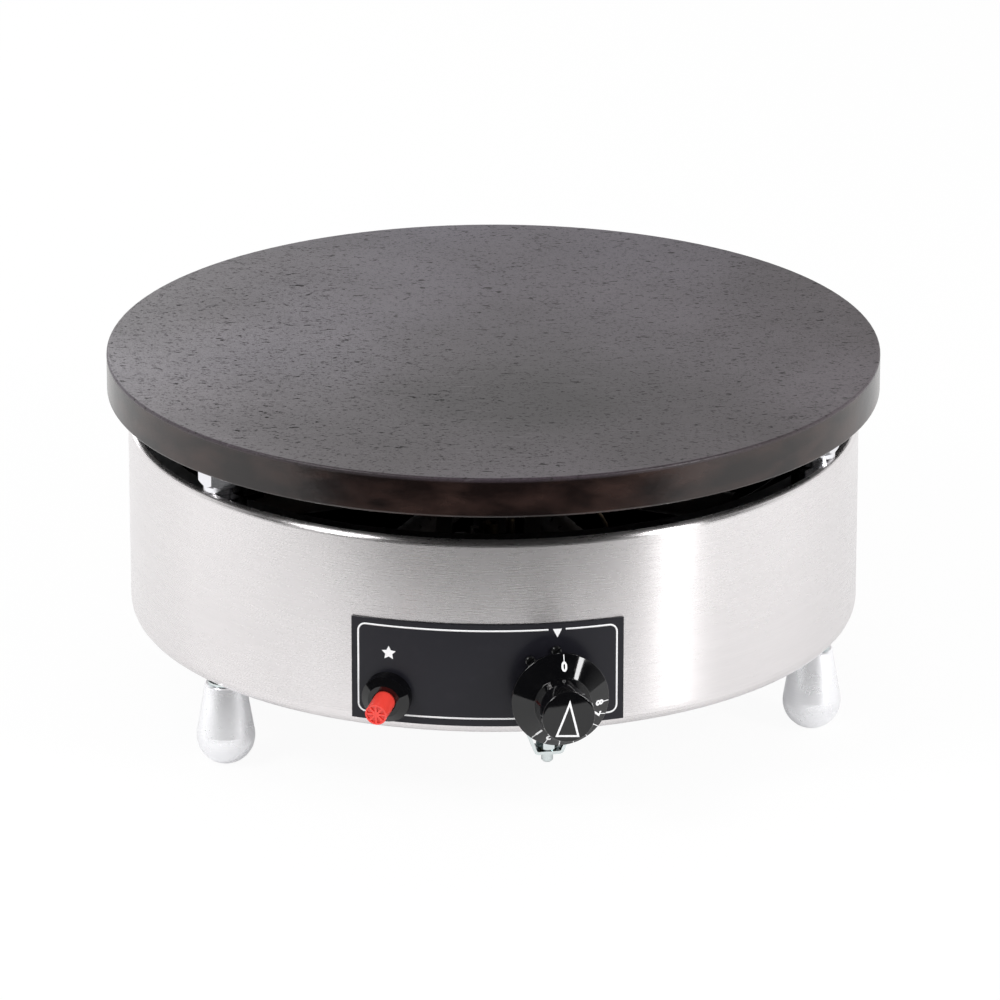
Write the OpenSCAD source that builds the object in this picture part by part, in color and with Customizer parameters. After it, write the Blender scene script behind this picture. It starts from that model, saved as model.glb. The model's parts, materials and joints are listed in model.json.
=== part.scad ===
// Gas crepe maker: a cast-iron griddle on a stainless drum with a star burner inside.
// Origin on the griddle's axis, on the plane that the feet stand on. The panel faces -Y.

/* [Griddle] */
// Diameter of the griddle plate
griddle_d = 400; // [390:1:440]
// Height of the griddle's rim
griddle_h = 20.8; // [18:0.1:26]
// Thickness of the griddle between its rim and its bosses
griddle_web = 12; // [9:0.5:15]
// Width of the thick rim, seen from below
griddle_rim_w = 12; // [9:0.5:16]
// Rounding of the rim's edges
griddle_edge_r = 1.2; // [0.5:0.1:3]
// Diameter of the boss over each post
griddle_boss_d = 30; // [26:1:34]

/* [Levelling posts] */
// Distance of the posts' and feet's axes from the drum's outside
post_setback = 13.2; // [12:0.1:14]
// Direction of the first post, from the panel's centre
post_first_az = -50; // [-56:1:-44]
// Gap between the shell and the griddle, which is the post's height
post_h = 16.6; // [14:0.1:30]
// Width of the post across its flats
post_af = 21.3; // [18:0.1:23]
// Angle of the post's corners
post_turn = 5; // [0:1:59]
// Chamfer at the lower end of the hexagon
post_chamfer = 1.6; // [0.5:0.1:2.5]
// Diameter of the round collar under the hexagon
collar_d = 20.6; // [17:0.1:21]
// Height of the round collar
collar_h = 3; // [2:0.1:5]
// Diameter of the griddle's threaded studs
stud_d = 8; // [6:0.5:10]
// Depth of the studs in the griddle
stud_grip = 12; // [8:0.5:14]
// Length of the studs below their brackets
stud_tail = 7; // [4:0.5:12]
// Thickness of the stud brackets' tab
bracket_tab_t = 3; // [2:0.5:5]
// Thickness of the stud brackets' leg
bracket_leg_t = 2; // [1.5:0.1:3]
// Width of the stud brackets
bracket_w = 30; // [24:1:34]
// Height of the stud brackets
bracket_h = 34; // [20:1:50]
// Reach of a bracket inward of its stud's axis
bracket_reach = 14.5; // [12:0.5:18]

/* [Shell] */
// Outer diameter of the drum
shell_d = 378.8; // [376:0.2:388]
// Height of the drum
shell_h = 104.1; // [100:0.1:120]
// Thickness of the drum's sheet
shell_t = 1.2; // [0.8:0.1:1.8]
// Outer rounding of the drum's top edge
shell_top_r = 3; // [2:0.5:5]
// Outer rounding of the drum's bottom edge
shell_bottom_r = 8; // [5:0.5:9]
// Flat width of the drum's turned-in edges, past their rounding
lip_w = 1; // [0.5:0.1:2]
// Width of the flat ring in the drum's top
ring_w = 7.9; // [7.4:0.1:10.4]
// Thickness of the base plate
base_t = 1.5; // [1.5:0.1:2.5]
// Number of air slots in the base plate
slot_count = 16; // [12:2:16]
// Width of an air slot
slot_w = 6; // [4:0.5:8]
// Distance of the air slots' inner ends from the axis
slot_r0 = 70; // [70:1:75]
// Length of an air slot
slot_l = 30; // [30:1:42]
// Distance of the heat shield from the drum's outside
shield_gap = 31.4; // [30:0.1:33]
// Thickness of the heat shield
shield_t = 0.8; // [0.6:0.1:1.2]
// Height of the heat shield
shield_h = 91; // [84:1:94]
// Height of the shield's front window
window_h = 54; // [50:1:60]

/* [Feet] */
// Height of a foot
foot_h = 43; // [38:0.5:60]
// Diameter of the foot's ball
foot_d = 30; // [28:0.5:32]
// Diameter of the foot's neck
foot_neck_d = 21; // [19:0.5:22]
// Diameter of the flat that the foot stands on
foot_flat_d = 9.6; // [8:0.2:14]
// Thickness of the washer over a foot
washer_t = 1.5; // [1:0.1:3]
// Diameter of the washer over a foot
washer_d = 18; // [16:0.5:20]
// Diameter of the foot bolts
foot_bolt_d = 8; // [6:0.5:10]
// Length of thread in the foot
foot_bolt_grip = 16; // [12:1:20]
// Width of the foot bolts' heads across their flats
foot_bolt_af = 13; // [12:0.5:14]

/* [Control panel] */
// Angle that the panel covers on the drum
panel_arc = 41.9; // [40:0.1:46]
// Height of the panel
panel_h = 54.2; // [52:0.1:60]
// Height of the panel's lower edge over the drum's bottom
panel_rise = 6; // [5:0.1:8]
// Thickness of the panel
panel_t = 0.8; // [0.5:0.1:1.2]

/* [Gas knob] */
// Direction of the knob from the panel's centre
knob_az = 10.4; // [9:0.1:12]
// Height of the knob's axis over the drum's bottom
knob_rise = 24.5; // [24:0.1:27]
// Gap between the panel and the knob's skirt
knob_gap = 11.2; // [10.5:0.1:16]
// Diameter of the skirt
skirt_d = 49.2; // [46:0.2:54]
// Thickness of the skirt's edge
skirt_edge_t = 1.6; // [1:0.1:2.5]
// Rise of the skirt's cone
skirt_cone_h = 7.2; // [5:0.1:9]
// Diameter of the grip at the skirt
grip_d = 28.8; // [27:0.1:31]
// Diameter of the grip's face
face_d = 26.5; // [24:0.1:27]
// Length of the grip over the skirt's cone
grip_l = 17.5; // [15:0.1:24]
// Wall of the knob's moulding
knob_wall = 1.8; // [1.4:0.1:2.2]
// Diameter of the knob's hub
hub_sleeve_d = 15; // [13:0.5:17]

/* [Gas tap] */
// Diameter of the tap's body
tap_d = 28; // [26:0.5:29]
// Length of the tap's body behind its flange
tap_l = 44; // [42:0.5:48]
// Diameter of the tap's nose
nose_d = 18; // [16:0.5:19]
// Length of the nose in front of the panel
nose_reach = 6; // [4:0.5:6.5]
// Diameter of the tap's flange
flange_d = 50; // [49:0.5:52]
// Thickness of the tap's flange
flange_t = 3; // [2:0.5:4]
// Diameter of the tap's stem
stem_d = 8; // [7:0.2:9]
// Distance of the stem's flat from its axis
stem_flat = 2.6; // [2.4:0.1:3]
// Length of the stem in the knob
stem_grip = 20; // [14:0.5:22]
// Diameter of the push pin behind the stem
pin_d = 5; // [4:0.2:5.6]
// Diameter of the spring chamber in the tap
chamber_d = 14.4; // [13.6:0.2:16]
// Length of the spring chamber
chamber_l = 23; // [22:0.5:24]
// Thickness of the collars on the stem and on the push pin
stop_t = 2; // [1.5:0.1:3]
// Thickness of the spring wire
spring_wire = 1; // [0.8:0.1:1.1]
// Number of turns of a spring
spring_turns = 7; // [5:1:8]
// Thickness of the tap bracket's sheet
tap_bracket_t = 2; // [1.5:0.1:2.5]
// Width of the tap bracket's plate
tap_bracket_w = 42; // [40:0.5:44]
// Width of the tap bracket's tongue
tongue_w = 20; // [14:0.5:24]
// Length of the tap bracket's tongue
tongue_l = 30; // [29:0.5:34]
// Distance of the panel screws from the knob's axis
screw_circle_r = 21.5; // [21:0.1:22]
// Diameter of the panel screws
screw_d = 3; // [2.5:0.1:3.5]
// Diameter of the panel screws' heads
screw_head_d = 5; // [4.4:0.1:6]
// Height of the panel screws' heads
screw_head_h = 2; // [1.5:0.1:2.6]
// Width of the slots in the screws' heads
screw_slot_w = 0.8; // [0.5:0.1:1]

/* [Tap clamp] */
// Distance of the clamp's front edge behind the drum's outside
clamp_setback = 18.4; // [17:0.1:20]
// Width of the clamp's strap
clamp_w = 12; // [10:0.5:13]
// Thickness of the clamp's strap
clamp_t = 1.6; // [1.2:0.1:1.8]
// Depth of the clamp's tab below the drum's bottom
clamp_drop = 18; // [14:0.5:26]
// Width of the clamp's tab
clamp_tab_w = 14; // [13.6:0.1:16]
// Height over which the clamp narrows to its tab
clamp_taper_h = 22.5; // [16:0.5:24]
// Diameter of the clamp's bolt
clamp_bolt_d = 6; // [5:0.1:6.4]
// Length of the bolt below the tab
clamp_bolt_end = 5.7; // [3:0.1:8]
// Width of the clamp's nut across its flats
clamp_nut_af = 10; // [9:0.1:10.4]
// Height of the clamp's nut
clamp_nut_h = 5; // [4:0.1:6]

/* [Burner] */
// Height of the burner's arms over the drum's bottom
burner_rise = 71.5; // [66:0.5:76]
// Outer diameter of an arm
arm_d = 16; // [14:0.5:17]
// Distance of the arms' ends from the heat shield
arm_gap = 23; // [21:1:30]
// Wall of the arms
arm_wall = 1.2; // [0.8:0.1:2]
// Diameter of a flame port
port_d = 2.4; // [1.6:0.1:3]
// Distance between flame ports
port_pitch = 12; // [9:0.5:16]
// Angle of the flame ports from the vertical
port_angle = 35; // [20:1:50]
// Diameter of the burner's hub
burner_hub_d = 68; // [66:1:76]
// Height of the burner's hub
burner_hub_h = 24; // [22:0.5:30]
// Wall of the burner's hub
burner_hub_wall = 2; // [1.5:0.1:3]
// Diameter of the mixing tube
mix_d = 21; // [18:0.5:22]
// Wall of the mixing tube
mix_wall = 1.2; // [0.8:0.1:2]
// Bend radius of the mixing tube
mix_bend_r = 16; // [12:0.5:18]
// Gap between the air shutter and the injector holder's hexagon
mouth_gap = 12.6; // [11:0.1:16]
// Diameter of the mixing tube's mouth
mouth_d = 34; // [32:0.5:36]
// Length of the mixing tube's flare
flare_l = 14; // [12:0.5:20]
// Thickness of the plate that closes the mouth
mouth_t = 1.5; // [1:0.1:2.5]
// Thickness of the air shutter
shutter_t = 1.2; // [0.8:0.1:2]
// Diameter of an air window
air_window_d = 7; // [5:0.2:8]
// Distance of the air windows from the mixing tube's axis
air_window_r = 11.5; // [11:0.1:12]
// Diameter of the injector holder
holder_d = 12; // [11:0.2:12.6]
// Width of the injector holder's hexagon across its flats
holder_af = 17; // [15:0.5:19]
// Length of the injector holder's hexagon
holder_hex_l = 8; // [6:0.5:10]
// Gap between that hexagon and the tap
holder_hex_gap = 4; // [2:0.5:6]
// Length of the holder inside the mixing tube
holder_reach = 8; // [6:0.5:12]
// Diameter of the gas way through the injector holder
gas_way_d = 6.1; // [6:0.1:7]
// Width of the injector's head across its flats
injector_af = 8; // [7.6:0.2:9]
// Length of the injector's head
injector_head_l = 4; // [3:0.2:5]
// Length of the injector's thread
injector_l = 7; // [5:0.5:8]
// Diameter of the injector's jet
jet_d = 1.2; // [0.8:0.1:2]
// Thickness of the burner's stands and pilot bracket
stand_t = 2; // [1.5:0.1:2.5]
// Width of the burner's stands
stand_w = 14; // [10:0.5:20]
// Diameter of the column under the mixing tube
column_d = 14; // [12:0.5:16]
// Width of the column's foot round it
column_foot_w = 9; // [6:0.5:10]
// Distance of the stands from the arms' ends
stand_inset = 17; // [15:0.5:20]

/* [Pilot] */
// Distance of the pilot from the axis
pilot_r = 78; // [76:0.5:80]
// Distance between pilot, thermocouple and electrode
pilot_pitch = 10; // [9.6:0.1:11]
// Height of the pilot bracket's plate below the arms' axis
pilot_drop = 16.5; // [14:0.5:18]
// Diameter of the pilot's body
pilot_d = 7; // [6:0.2:8]
// Height of the pilot's hood over its plate
hood_h = 18; // [16:0.5:20]
// Length of the pilot below its plate
pilot_stub_l = 8; // [7:0.5:10]
// Length of the thermocouple below the plate
probe_stub_l = 11; // [10:0.5:13]
// Length of the electrode's ceramic below the plate
ceramic_stub_l = 13; // [12:0.5:15]
// Length of the electrode's ceramic above the plate
ceramic_top_l = 12; // [10:0.5:14]
// Diameter of the thermocouple's tip
probe_d = 4.8; // [4:0.2:5.4]
// Diameter of the electrode's ceramic
ceramic_d = 5; // [4.4:0.2:5.6]
// Diameter of the pilot tube
pilot_tube_d = 4; // [3:0.5:4.5]
// Diameter of the thermocouple's lead
probe_lead_d = 2.4; // [1.6:0.2:3]
// Diameter of the ignition lead
spark_lead_d = 3.6; // [3:0.2:4.4]
// Diameter of the thermostat's bulb
bulb_d = 6; // [5:0.2:7]
// Length of the thermostat's bulb
bulb_l = 80; // [66:1:90]
// Distance of the bulb's axis from the heat shield
bulb_gap = 18; // [14:1:22]
// Diameter of the capillary
capillary_d = 2; // [1.4:0.2:2.6]

/* [Igniter] */
// Direction of the igniter from the panel's centre
igniter_az = -15.1; // [-16:0.1:-13]
// Height of the igniter's axis over the drum's bottom, at the panel
igniter_rise = 20; // [20:0.1:24]
// Angle that the igniter leans down
igniter_tilt = 6.2; // [0:0.1:7]
// Diameter of the bezel
bezel_d = 24.8; // [24:0.1:27]
// Length of the bezel's round side
bezel_side = 5; // [4:0.1:7]
// Length of the bezel's cone
bezel_cone_h = 2.4; // [1.5:0.1:4]
// Diameter of the bezel's face
bezel_face_d = 17; // [16.4:0.1:19]
// Diameter of the button
button_d = 11.1; // [9:0.1:12]
// Length of the button in front of the panel
button_reach = 21.8; // [16:0.1:28]
// Depth of the hollow in the button's end
button_hollow = 0.9; // [0.5:0.1:1.5]
// Diameter of the igniter's body
igniter_d = 18; // [17:0.2:18.6]
// Length of the igniter's body behind the panel
igniter_l = 46; // [40:0.5:48]
// Diameter of the igniter's front neck
igniter_neck_d = 14.8; // [14:0.1:15.4]
// Width of the igniter's nut across its flats
igniter_nut_af = 24; // [22:0.5:25]

/* [Gas inlet] */
// Direction of the gas inlet from the panel's centre
inlet_az = 150; // [140:1:156]
// Outer diameter of the inlet's thread
inlet_d = 20.96; // [17:0.02:24]
// Length of the inlet outside the drum
inlet_reach = 22; // [18:0.5:30]
// Bore of the inlet
inlet_bore = 14; // [10:0.5:14.5]
// Width of the inlet's nuts across their flats
inlet_nut_af = 27; // [26:0.5:30]
// Height of the inlet's nuts
inlet_nut_h = 5; // [4:0.2:6]
// Width of the inlet's elbow
elbow_w = 20; // [19:0.5:22]
// Outer diameter of the feed pipe
pipe_d = 10; // [8:0.2:11]
// Wall of the feed pipe
pipe_wall = 1; // [0.8:0.1:1.5]
// Gap between the feed pipe's port and the tap clamp
pipe_gap = 3.5; // [3:0.1:4]
// Outer diameter of the ports that take the feed pipe
port_boss_d = 15; // [14:0.5:16]

/* [Clearances] */
// Radial gap of a piece that turns or slides in its bore
run_gap = 0.05; // [0.03:0.01:0.08]
// Radial gap round a fixed piece in its hole
hole_gap = 0.3; // [0.2:0.05:0.5]
// Gap between pieces that lie on each other
seat_gap = 0.05; // [0.03:0.01:0.1]
// Gap between the drum's curved wall and what lies on it
wall_gap = 0.15; // [0.05:0.01:0.2]
// Gap over and under the posts, between pieces that move
rest_gap = 0.1; // [0.05:0.01:0.15]

/* [Hidden] */
$fn = 96;
post_count = 3;
arm_count = 8;
far = 500;
cut = 1;
// Overshoot of a cut through a curved wall
through = 5;
hub_fn = 48;
wall_fn = 720;
air_window_count = 4;

// Heights, from the feet up
shell_z0 = foot_h + washer_t;
shell_z1 = shell_z0 + shell_h;
griddle_z0 = shell_z1 + post_h;
griddle_z1 = griddle_z0 + griddle_h;
base_z1 = shell_z0 + base_t;
tap_z = shell_z0 + knob_rise;
igniter_z = shell_z0 + igniter_rise;
burner_z = shell_z0 + burner_rise;
shield_z1 = base_z1 + shield_h;

// Radii of the drum and of what lies on it
shell_r = shell_d / 2;
shell_in_r = shell_r - shell_t;
shell_lip_r = shell_r - shell_top_r - lip_w;
top_hole_r = shell_lip_r - ring_w;
base_lip_r = shell_r - shell_bottom_r - lip_w;
post_circle_r = shell_r - post_setback;
panel_r0 = shell_r + wall_gap;
panel_r1 = panel_r0 + panel_t;
shield_r = shell_r - shield_gap;
bulb_r = shield_r - bulb_gap;
arm_reach = shield_r - arm_gap;

// Distances along the tap's axis, from the drum's axis outward
tap_bracket_r1 = sqrt(pow(shell_in_r, 2) - pow(tap_bracket_w / 2, 2)) - wall_gap;
flange_r1 = tap_bracket_r1 - tap_bracket_t;
flange_r0 = flange_r1 - flange_t;
tap_r0 = flange_r0 - tap_l;
nose_r1 = panel_r1 + nose_reach;
chamber_floor = 5;
chamber_r0 = tap_r0 + chamber_floor;
chamber_r1 = chamber_r0 + chamber_l;
stop_r1 = chamber_r1 - rest_gap;
pin_head_r1 = stop_r1 - stop_t - seat_gap;
pin_head_r0 = pin_head_r1 - stop_t;
pin_r0 = tap_r0 + chamber_floor / 2;
skirt_r0 = panel_r1 + knob_gap;
grip_r0 = skirt_r0 + skirt_edge_t + skirt_cone_h;
face_r = grip_r0 + grip_l;
stem_r1 = skirt_r0 + stem_grip;
holder_hex_r1 = tap_r0 - holder_hex_gap;
mouth_r = holder_hex_r1 - holder_hex_l - mouth_gap - shutter_t - rest_gap;
holder_r0 = mouth_r - holder_reach;

// The tap clamp, seen along the tap's axis
clamp_r1 = shell_r - clamp_setback;
clamp_r0 = clamp_r1 - clamp_w;
clamp_mid_r = clamp_r0 + clamp_w / 2;
pipe_run_r = clamp_r0 - pipe_gap - port_boss_d / 2;
tongue_y = tap_d / 2 + seat_gap;
flange_low = -tap_d / 2 - 2;
clamp_in_top = tongue_y + tap_bracket_t + seat_gap;
clamp_in_half = tap_d / 2 + hole_gap;
clamp_top = clamp_in_top + clamp_t;
clamp_half = clamp_in_half + clamp_t;
clamp_bottom = -knob_rise - clamp_drop;
clamp_taper_y = clamp_bottom + clamp_taper_h;
clamp_lean = atan((clamp_half - clamp_tab_w / 2) / clamp_taper_h);
clamp_corner_r = clamp_t + 1;
clamp_play = 2.5;
clamp_slot_w = 2 * (clamp_half + clamp_play);

// Directions of the screws round the knob, clockwise from the top
panel_screw_angles = [-38, 120];
bypass_angles = [0];
screw_angles = concat(panel_screw_angles, bypass_angles);
screw_hole_d = screw_d + 2 * hole_gap;

// Ends of the feed pipe, as directions round the drum's axis
tap_port_az = knob_az + asin((tap_d / 2 + 4) / pipe_run_r);
inlet_port_az = inlet_az - asin((elbow_w / 2 + 4) / pipe_run_r);
port_boss_l = 15;
pipe_az0 = tap_port_az + 0.5;
pipe_az1 = inlet_port_az - 0.5;

// Places of the pieces of the pilot
pilot_plate_z = burner_z - pilot_drop;
pilot_base_z = pilot_plate_z - pilot_stub_l;
probe_base_z = pilot_plate_z - probe_stub_l;
ceramic_base_z = pilot_plate_z - ceramic_stub_l;
bulb_az = 0;
bulb_z = shell_z1 + 2.7;
clip_t = 1;
clip_w = 8;
clip_spread = 22;
side_port_d = 7.5;
probe_port_r = tap_r0 + 7;
pilot_port_r = probe_port_r + side_port_d + 2;
side_port_reach = tap_d / 2 + 6;

// Distances along the igniter's axis, in front of the panel
igniter_terminal_l = 3;
button_bore_u = -24;
button_back_u = -10;

// Profile points of a rounded corner at b, between a and c
function unit(v) = v / norm(v);
function wrap(t) = t > 180 ? t - 360 : (t < -180 ? t + 360 : t);
function corner(a, b, c, r, n) =
    let (
        u = unit(a - b),
        v = unit(c - b),
        half = acos(u * v) / 2,
        o = b + unit(u + v) * r / sin(half),
        p = b + u * r / tan(half) - o,
        q = b + v * r / tan(half) - o,
        start = atan2(p[1], p[0]),
        turn = wrap(atan2(q[1], q[0]) - start)
    )
    [for (i = [0 : n]) o + r * [cos(start + turn * i / n), sin(start + turn * i / n)]];
// Outline through points [x, y, r], each corner rounded with its r
function rounded(pts, n = 6) =
    let (count = len(pts))
    [
        for (i = [0 : count - 1])
            let (
                a = pts[(i + count - 1) % count],
                b = pts[i],
                c = pts[(i + 1) % count],
                r = b[2]
            )
            each r > 0
                ? corner([a[0], a[1]], [b[0], b[1]], [c[0], c[1]], r, n)
                : [[b[0], b[1]]]
    ];

// A route with its corners cut twice, its ends kept
function soften(p) =
    [
        p[0],
        for (i = [0 : len(p) - 2])
            each [0.75 * p[i] + 0.25 * p[i + 1], 0.25 * p[i] + 0.75 * p[i + 1]],
        p[len(p) - 1]
    ];
function route(p) = soften(soften(p));
function along(p, i) = unit(p[min(i + 1, len(p) - 1)] - p[max(i - 1, 0)]);
function square_to(t, v) = unit(v - (v * t) * t);
// Side directions along a route, each turned as little as possible from the last
function frames(p, i, v) =
    i == len(p) ? [] : let (s = square_to(along(p, i), v)) concat([s], frames(p, i + 1, s));

// A place given in the frame of the tap's axis: sideways, outward, up
function on_tap(x, r, y) =
    [
        x * cos(knob_az) + r * sin(knob_az),
        x * sin(knob_az) - r * cos(knob_az),
        tap_z + y
    ];
// A place on the igniter's axis, at a distance in front of the panel
function on_igniter(u) =
    let (r = panel_r1 + u * cos(igniter_tilt))
    [r * sin(igniter_az), -r * cos(igniter_az), igniter_z - u * sin(igniter_tilt)];
// A place in the frame of the thermostat's bulb
function on_bulb(x, r, z) =
    [
        x * cos(bulb_az) + r * sin(bulb_az),
        x * sin(bulb_az) - r * cos(bulb_az),
        z
    ];
function post_az(i) = post_first_az + 360 * i / post_count;
function arm_az(i) = 360 * (i + 0.5) / arm_count;

// Straight length of a tube or lead at each end
tube_end = 7;
capillary_r = (arm_reach + shield_r) / 2;
function polar(az, r, z) = [r * sin(az), -r * cos(az), z];

pilot_route = [
    on_tap(-side_port_reach, pilot_port_r, 0),
    on_tap(-side_port_reach - tube_end, pilot_port_r, 0),
    [-14, -146, 66],
    [-14, -120, 66],
    [-8, -96, 74],
    [0, -pilot_r, pilot_base_z - tube_end],
    [0, -pilot_r, pilot_base_z]
];
probe_route = [
    on_tap(-side_port_reach, probe_port_r, 0),
    on_tap(-side_port_reach - tube_end, probe_port_r, 0),
    [-4, -136, 76],
    [2, -112, 84],
    [10, -92, 86],
    [pilot_pitch, -pilot_r, probe_base_z - tube_end],
    [pilot_pitch, -pilot_r, probe_base_z]
];
spark_route = [
    on_igniter(-igniter_l - igniter_terminal_l),
    on_igniter(-igniter_l - igniter_terminal_l - tube_end),
    [-26, -108, 74],
    [-14, -88, 75],
    [-pilot_pitch, -pilot_r, ceramic_base_z - tube_end],
    [-pilot_pitch, -pilot_r, ceramic_base_z]
];
capillary_route = [
    on_tap(10, tap_r0, 6),
    on_tap(10, tap_r0 - tube_end, 6),
    polar(20, capillary_r - 3, tap_z + 21),
    polar(24, capillary_r, burner_z - 4),
    polar(24, capillary_r + 3, bulb_z - 13),
    on_bulb(bulb_l / 2 + tube_end + 3, bulb_r, bulb_z),
    on_bulb(bulb_l / 2, bulb_r, bulb_z)
];

// Turns a piece drawn at the front to its direction round the axis
module facing(az) {
    rotate([0, 0, az]) children();
}

// Frame with z pointing outward at a height, y up and x to the right
module outward(az, z) {
    facing(az) translate([0, 0, z]) rotate([90, 0, 0]) children();
}

module on_tap_axis() {
    outward(knob_az, tap_z) children();
}

module on_igniter_axis() {
    facing(igniter_az)
        translate([0, -panel_r1, igniter_z])
            rotate([90 + igniter_tilt, 0, 0]) children();
}

// A round bar along z between two places
module bar(d, z0, z1) {
    translate([0, 0, z0]) cylinder(d = d, h = z1 - z0);
}

// A hexagonal bar along z between two places
module hex(af, z0, z1) {
    translate([0, 0, z0]) cylinder(d = af / cos(30), h = z1 - z0, $fn = 6);
}

// A flat piece drawn in the plane of radius and height, at the front
module strip(w, pts) {
    translate([-w / 2, 0, 0])
        rotate([90, 0, -90]) mirror([0, 0, 1]) linear_extrude(w) polygon(pts);
}

// A wedge round the axis between two directions
module wedge(az0, az1, r, z0, z1) {
    mid = (az0 + az1) / 2;
    translate([0, 0, z0])
        linear_extrude(z1 - z0)
            polygon([
                [0, 0],
                for (a = [az0, mid, az1]) [r * sin(a), -r * cos(a)]
            ]);
}

// A round wire along a route
module wire(p, d, sides = 8) {
    side = frames(p, 0, abs(along(p, 0)[2]) > 0.9 ? [1, 0, 0] : [0, 0, 1]);
    rings = [
        for (i = [0 : len(p) - 1])
            let (b = cross(along(p, i), side[i]))
            each [
                for (k = [0 : sides - 1])
                    p[i] + d / 2 * (cos(360 * k / sides) * side[i] + sin(360 * k / sides) * b)
            ]
    ];
    last = (len(p) - 1) * sides;
    walls = [
        for (i = [0 : len(p) - 2], k = [0 : sides - 1])
            let (a = i * sides + k, b = i * sides + (k + 1) % sides)
            each [[a, a + sides, b + sides], [a, b + sides, b]]
    ];
    caps = [
        for (k = [1 : sides - 2])
            each [[0, k, k + 1], [last, last + k + 1, last + k]]
    ];
    polyhedron(rings, concat(walls, caps));
}

// A coil spring along z between two places
module coil(d, wire_d, turns, z0, z1) {
    steps = 10;
    rise = z1 - z0 - wire_d;
    p = [
        for (i = [0 : turns * steps])
            let (t = i / steps)
            [
                (d - wire_d) / 2 * cos(360 * t),
                (d - wire_d) / 2 * sin(360 * t),
                z0 + wire_d / 2 + rise * t / turns
            ]
    ];
    wire(p, wire_d, 6);
}

module griddle_plate() {
    r = griddle_d / 2;
    web_z = griddle_z1 - griddle_web;
    rim_r = r - griddle_rim_w;
    color("dimgray")
        difference() {
            union() {
                rotate_extrude()
                    polygon(rounded([
                        [0, web_z, 0],
                        [rim_r - 3, web_z, 2],
                        [rim_r, griddle_z0, 0],
                        [r, griddle_z0, griddle_edge_r],
                        [r, griddle_z1, griddle_edge_r],
                        [0, griddle_z1, 0]
                    ]));
                for (i = [0 : post_count - 1])
                    facing(post_az(i))
                        translate([0, -post_circle_r, 0]) bar(griddle_boss_d, griddle_z0, web_z + cut);
            }
            for (i = [0 : post_count - 1])
                facing(post_az(i))
                    translate([0, -post_circle_r, 0])
                        bar(stud_d + 2 * run_gap, griddle_z0 - cut, griddle_z0 + stud_grip + seat_gap);
        }
}

module griddle_studs() {
    stud_z0 = shell_z1 - shell_t - bracket_tab_t - stud_tail;
    stud_z1 = griddle_z0 + stud_grip;
    tip = 1;
    color("silver")
        for (i = [0 : post_count - 1])
            facing(post_az(i))
                translate([0, -post_circle_r, 0]) {
                    bar(stud_d, stud_z0 + tip, stud_z1);
                    translate([0, 0, stud_z0]) cylinder(d1 = stud_d - 2 * tip, d2 = stud_d, h = tip);
                }
}

module levelling_post(i) {
    hex_z0 = shell_z1 + collar_h;
    hex_z1 = griddle_z0 - rest_gap;
    corner_r = post_af / 2 / cos(30);
    color("gainsboro")
        facing(post_az(i))
            translate([0, -post_circle_r, 0])
                difference() {
                    union() {
                        bar(collar_d, shell_z1 + rest_gap, hex_z0 + cut);
                        intersection() {
                            rotate([0, 0, post_turn - post_az(0)]) hex(post_af, hex_z0, hex_z1);
                            translate([0, 0, hex_z0])
                                cylinder(
                                    r1 = corner_r - post_chamfer,
                                    r2 = corner_r - post_chamfer + (hex_z1 - hex_z0),
                                    h = hex_z1 - hex_z0
                                );
                        }
                    }
                    bar(stud_d + 2 * run_gap, shell_z1, griddle_z0);
                }
}

module outer_shell() {
    r = shell_r;
    t = shell_t;
    color("lightgray")
        difference() {
            rotate_extrude()
                polygon(rounded([
                    [shell_lip_r, shell_z1, 0],
                    [r, shell_z1, shell_top_r],
                    [r, shell_z0, shell_bottom_r],
                    [base_lip_r, shell_z0, 0],
                    [base_lip_r, shell_z0 + t, 0],
                    [r - t, shell_z0 + t, shell_bottom_r - t],
                    [r - t, shell_z1 - t, shell_top_r - t],
                    [shell_lip_r, shell_z1 - t, 0]
                ]));
            on_tap_axis() {
                bar(nose_d + 2 * hole_gap, shell_in_r - through, shell_r + through);
                screw_places() bar(screw_hole_d, shell_in_r - through, shell_r + through);
            }
            on_igniter_axis() bar(igniter_d + 2 * hole_gap, -2 * through, through);
            outward(inlet_az, tap_z) bar(inlet_d + 2 * hole_gap, shell_in_r - through, shell_r + through);
        }
}

// The way through the base plate for the tap clamp
module clamp_slot() {
    facing(knob_az)
        translate([-clamp_slot_w / 2, -clamp_r1 - clamp_play, shell_z0 - cut])
            cube([clamp_slot_w, clamp_w + 2 * clamp_play, base_t + 2 * cut]);
}

module screw_places(angles = screw_angles) {
    for (a = angles)
        rotate([0, 0, -a]) translate([0, screw_circle_r, 0]) children();
}

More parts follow.
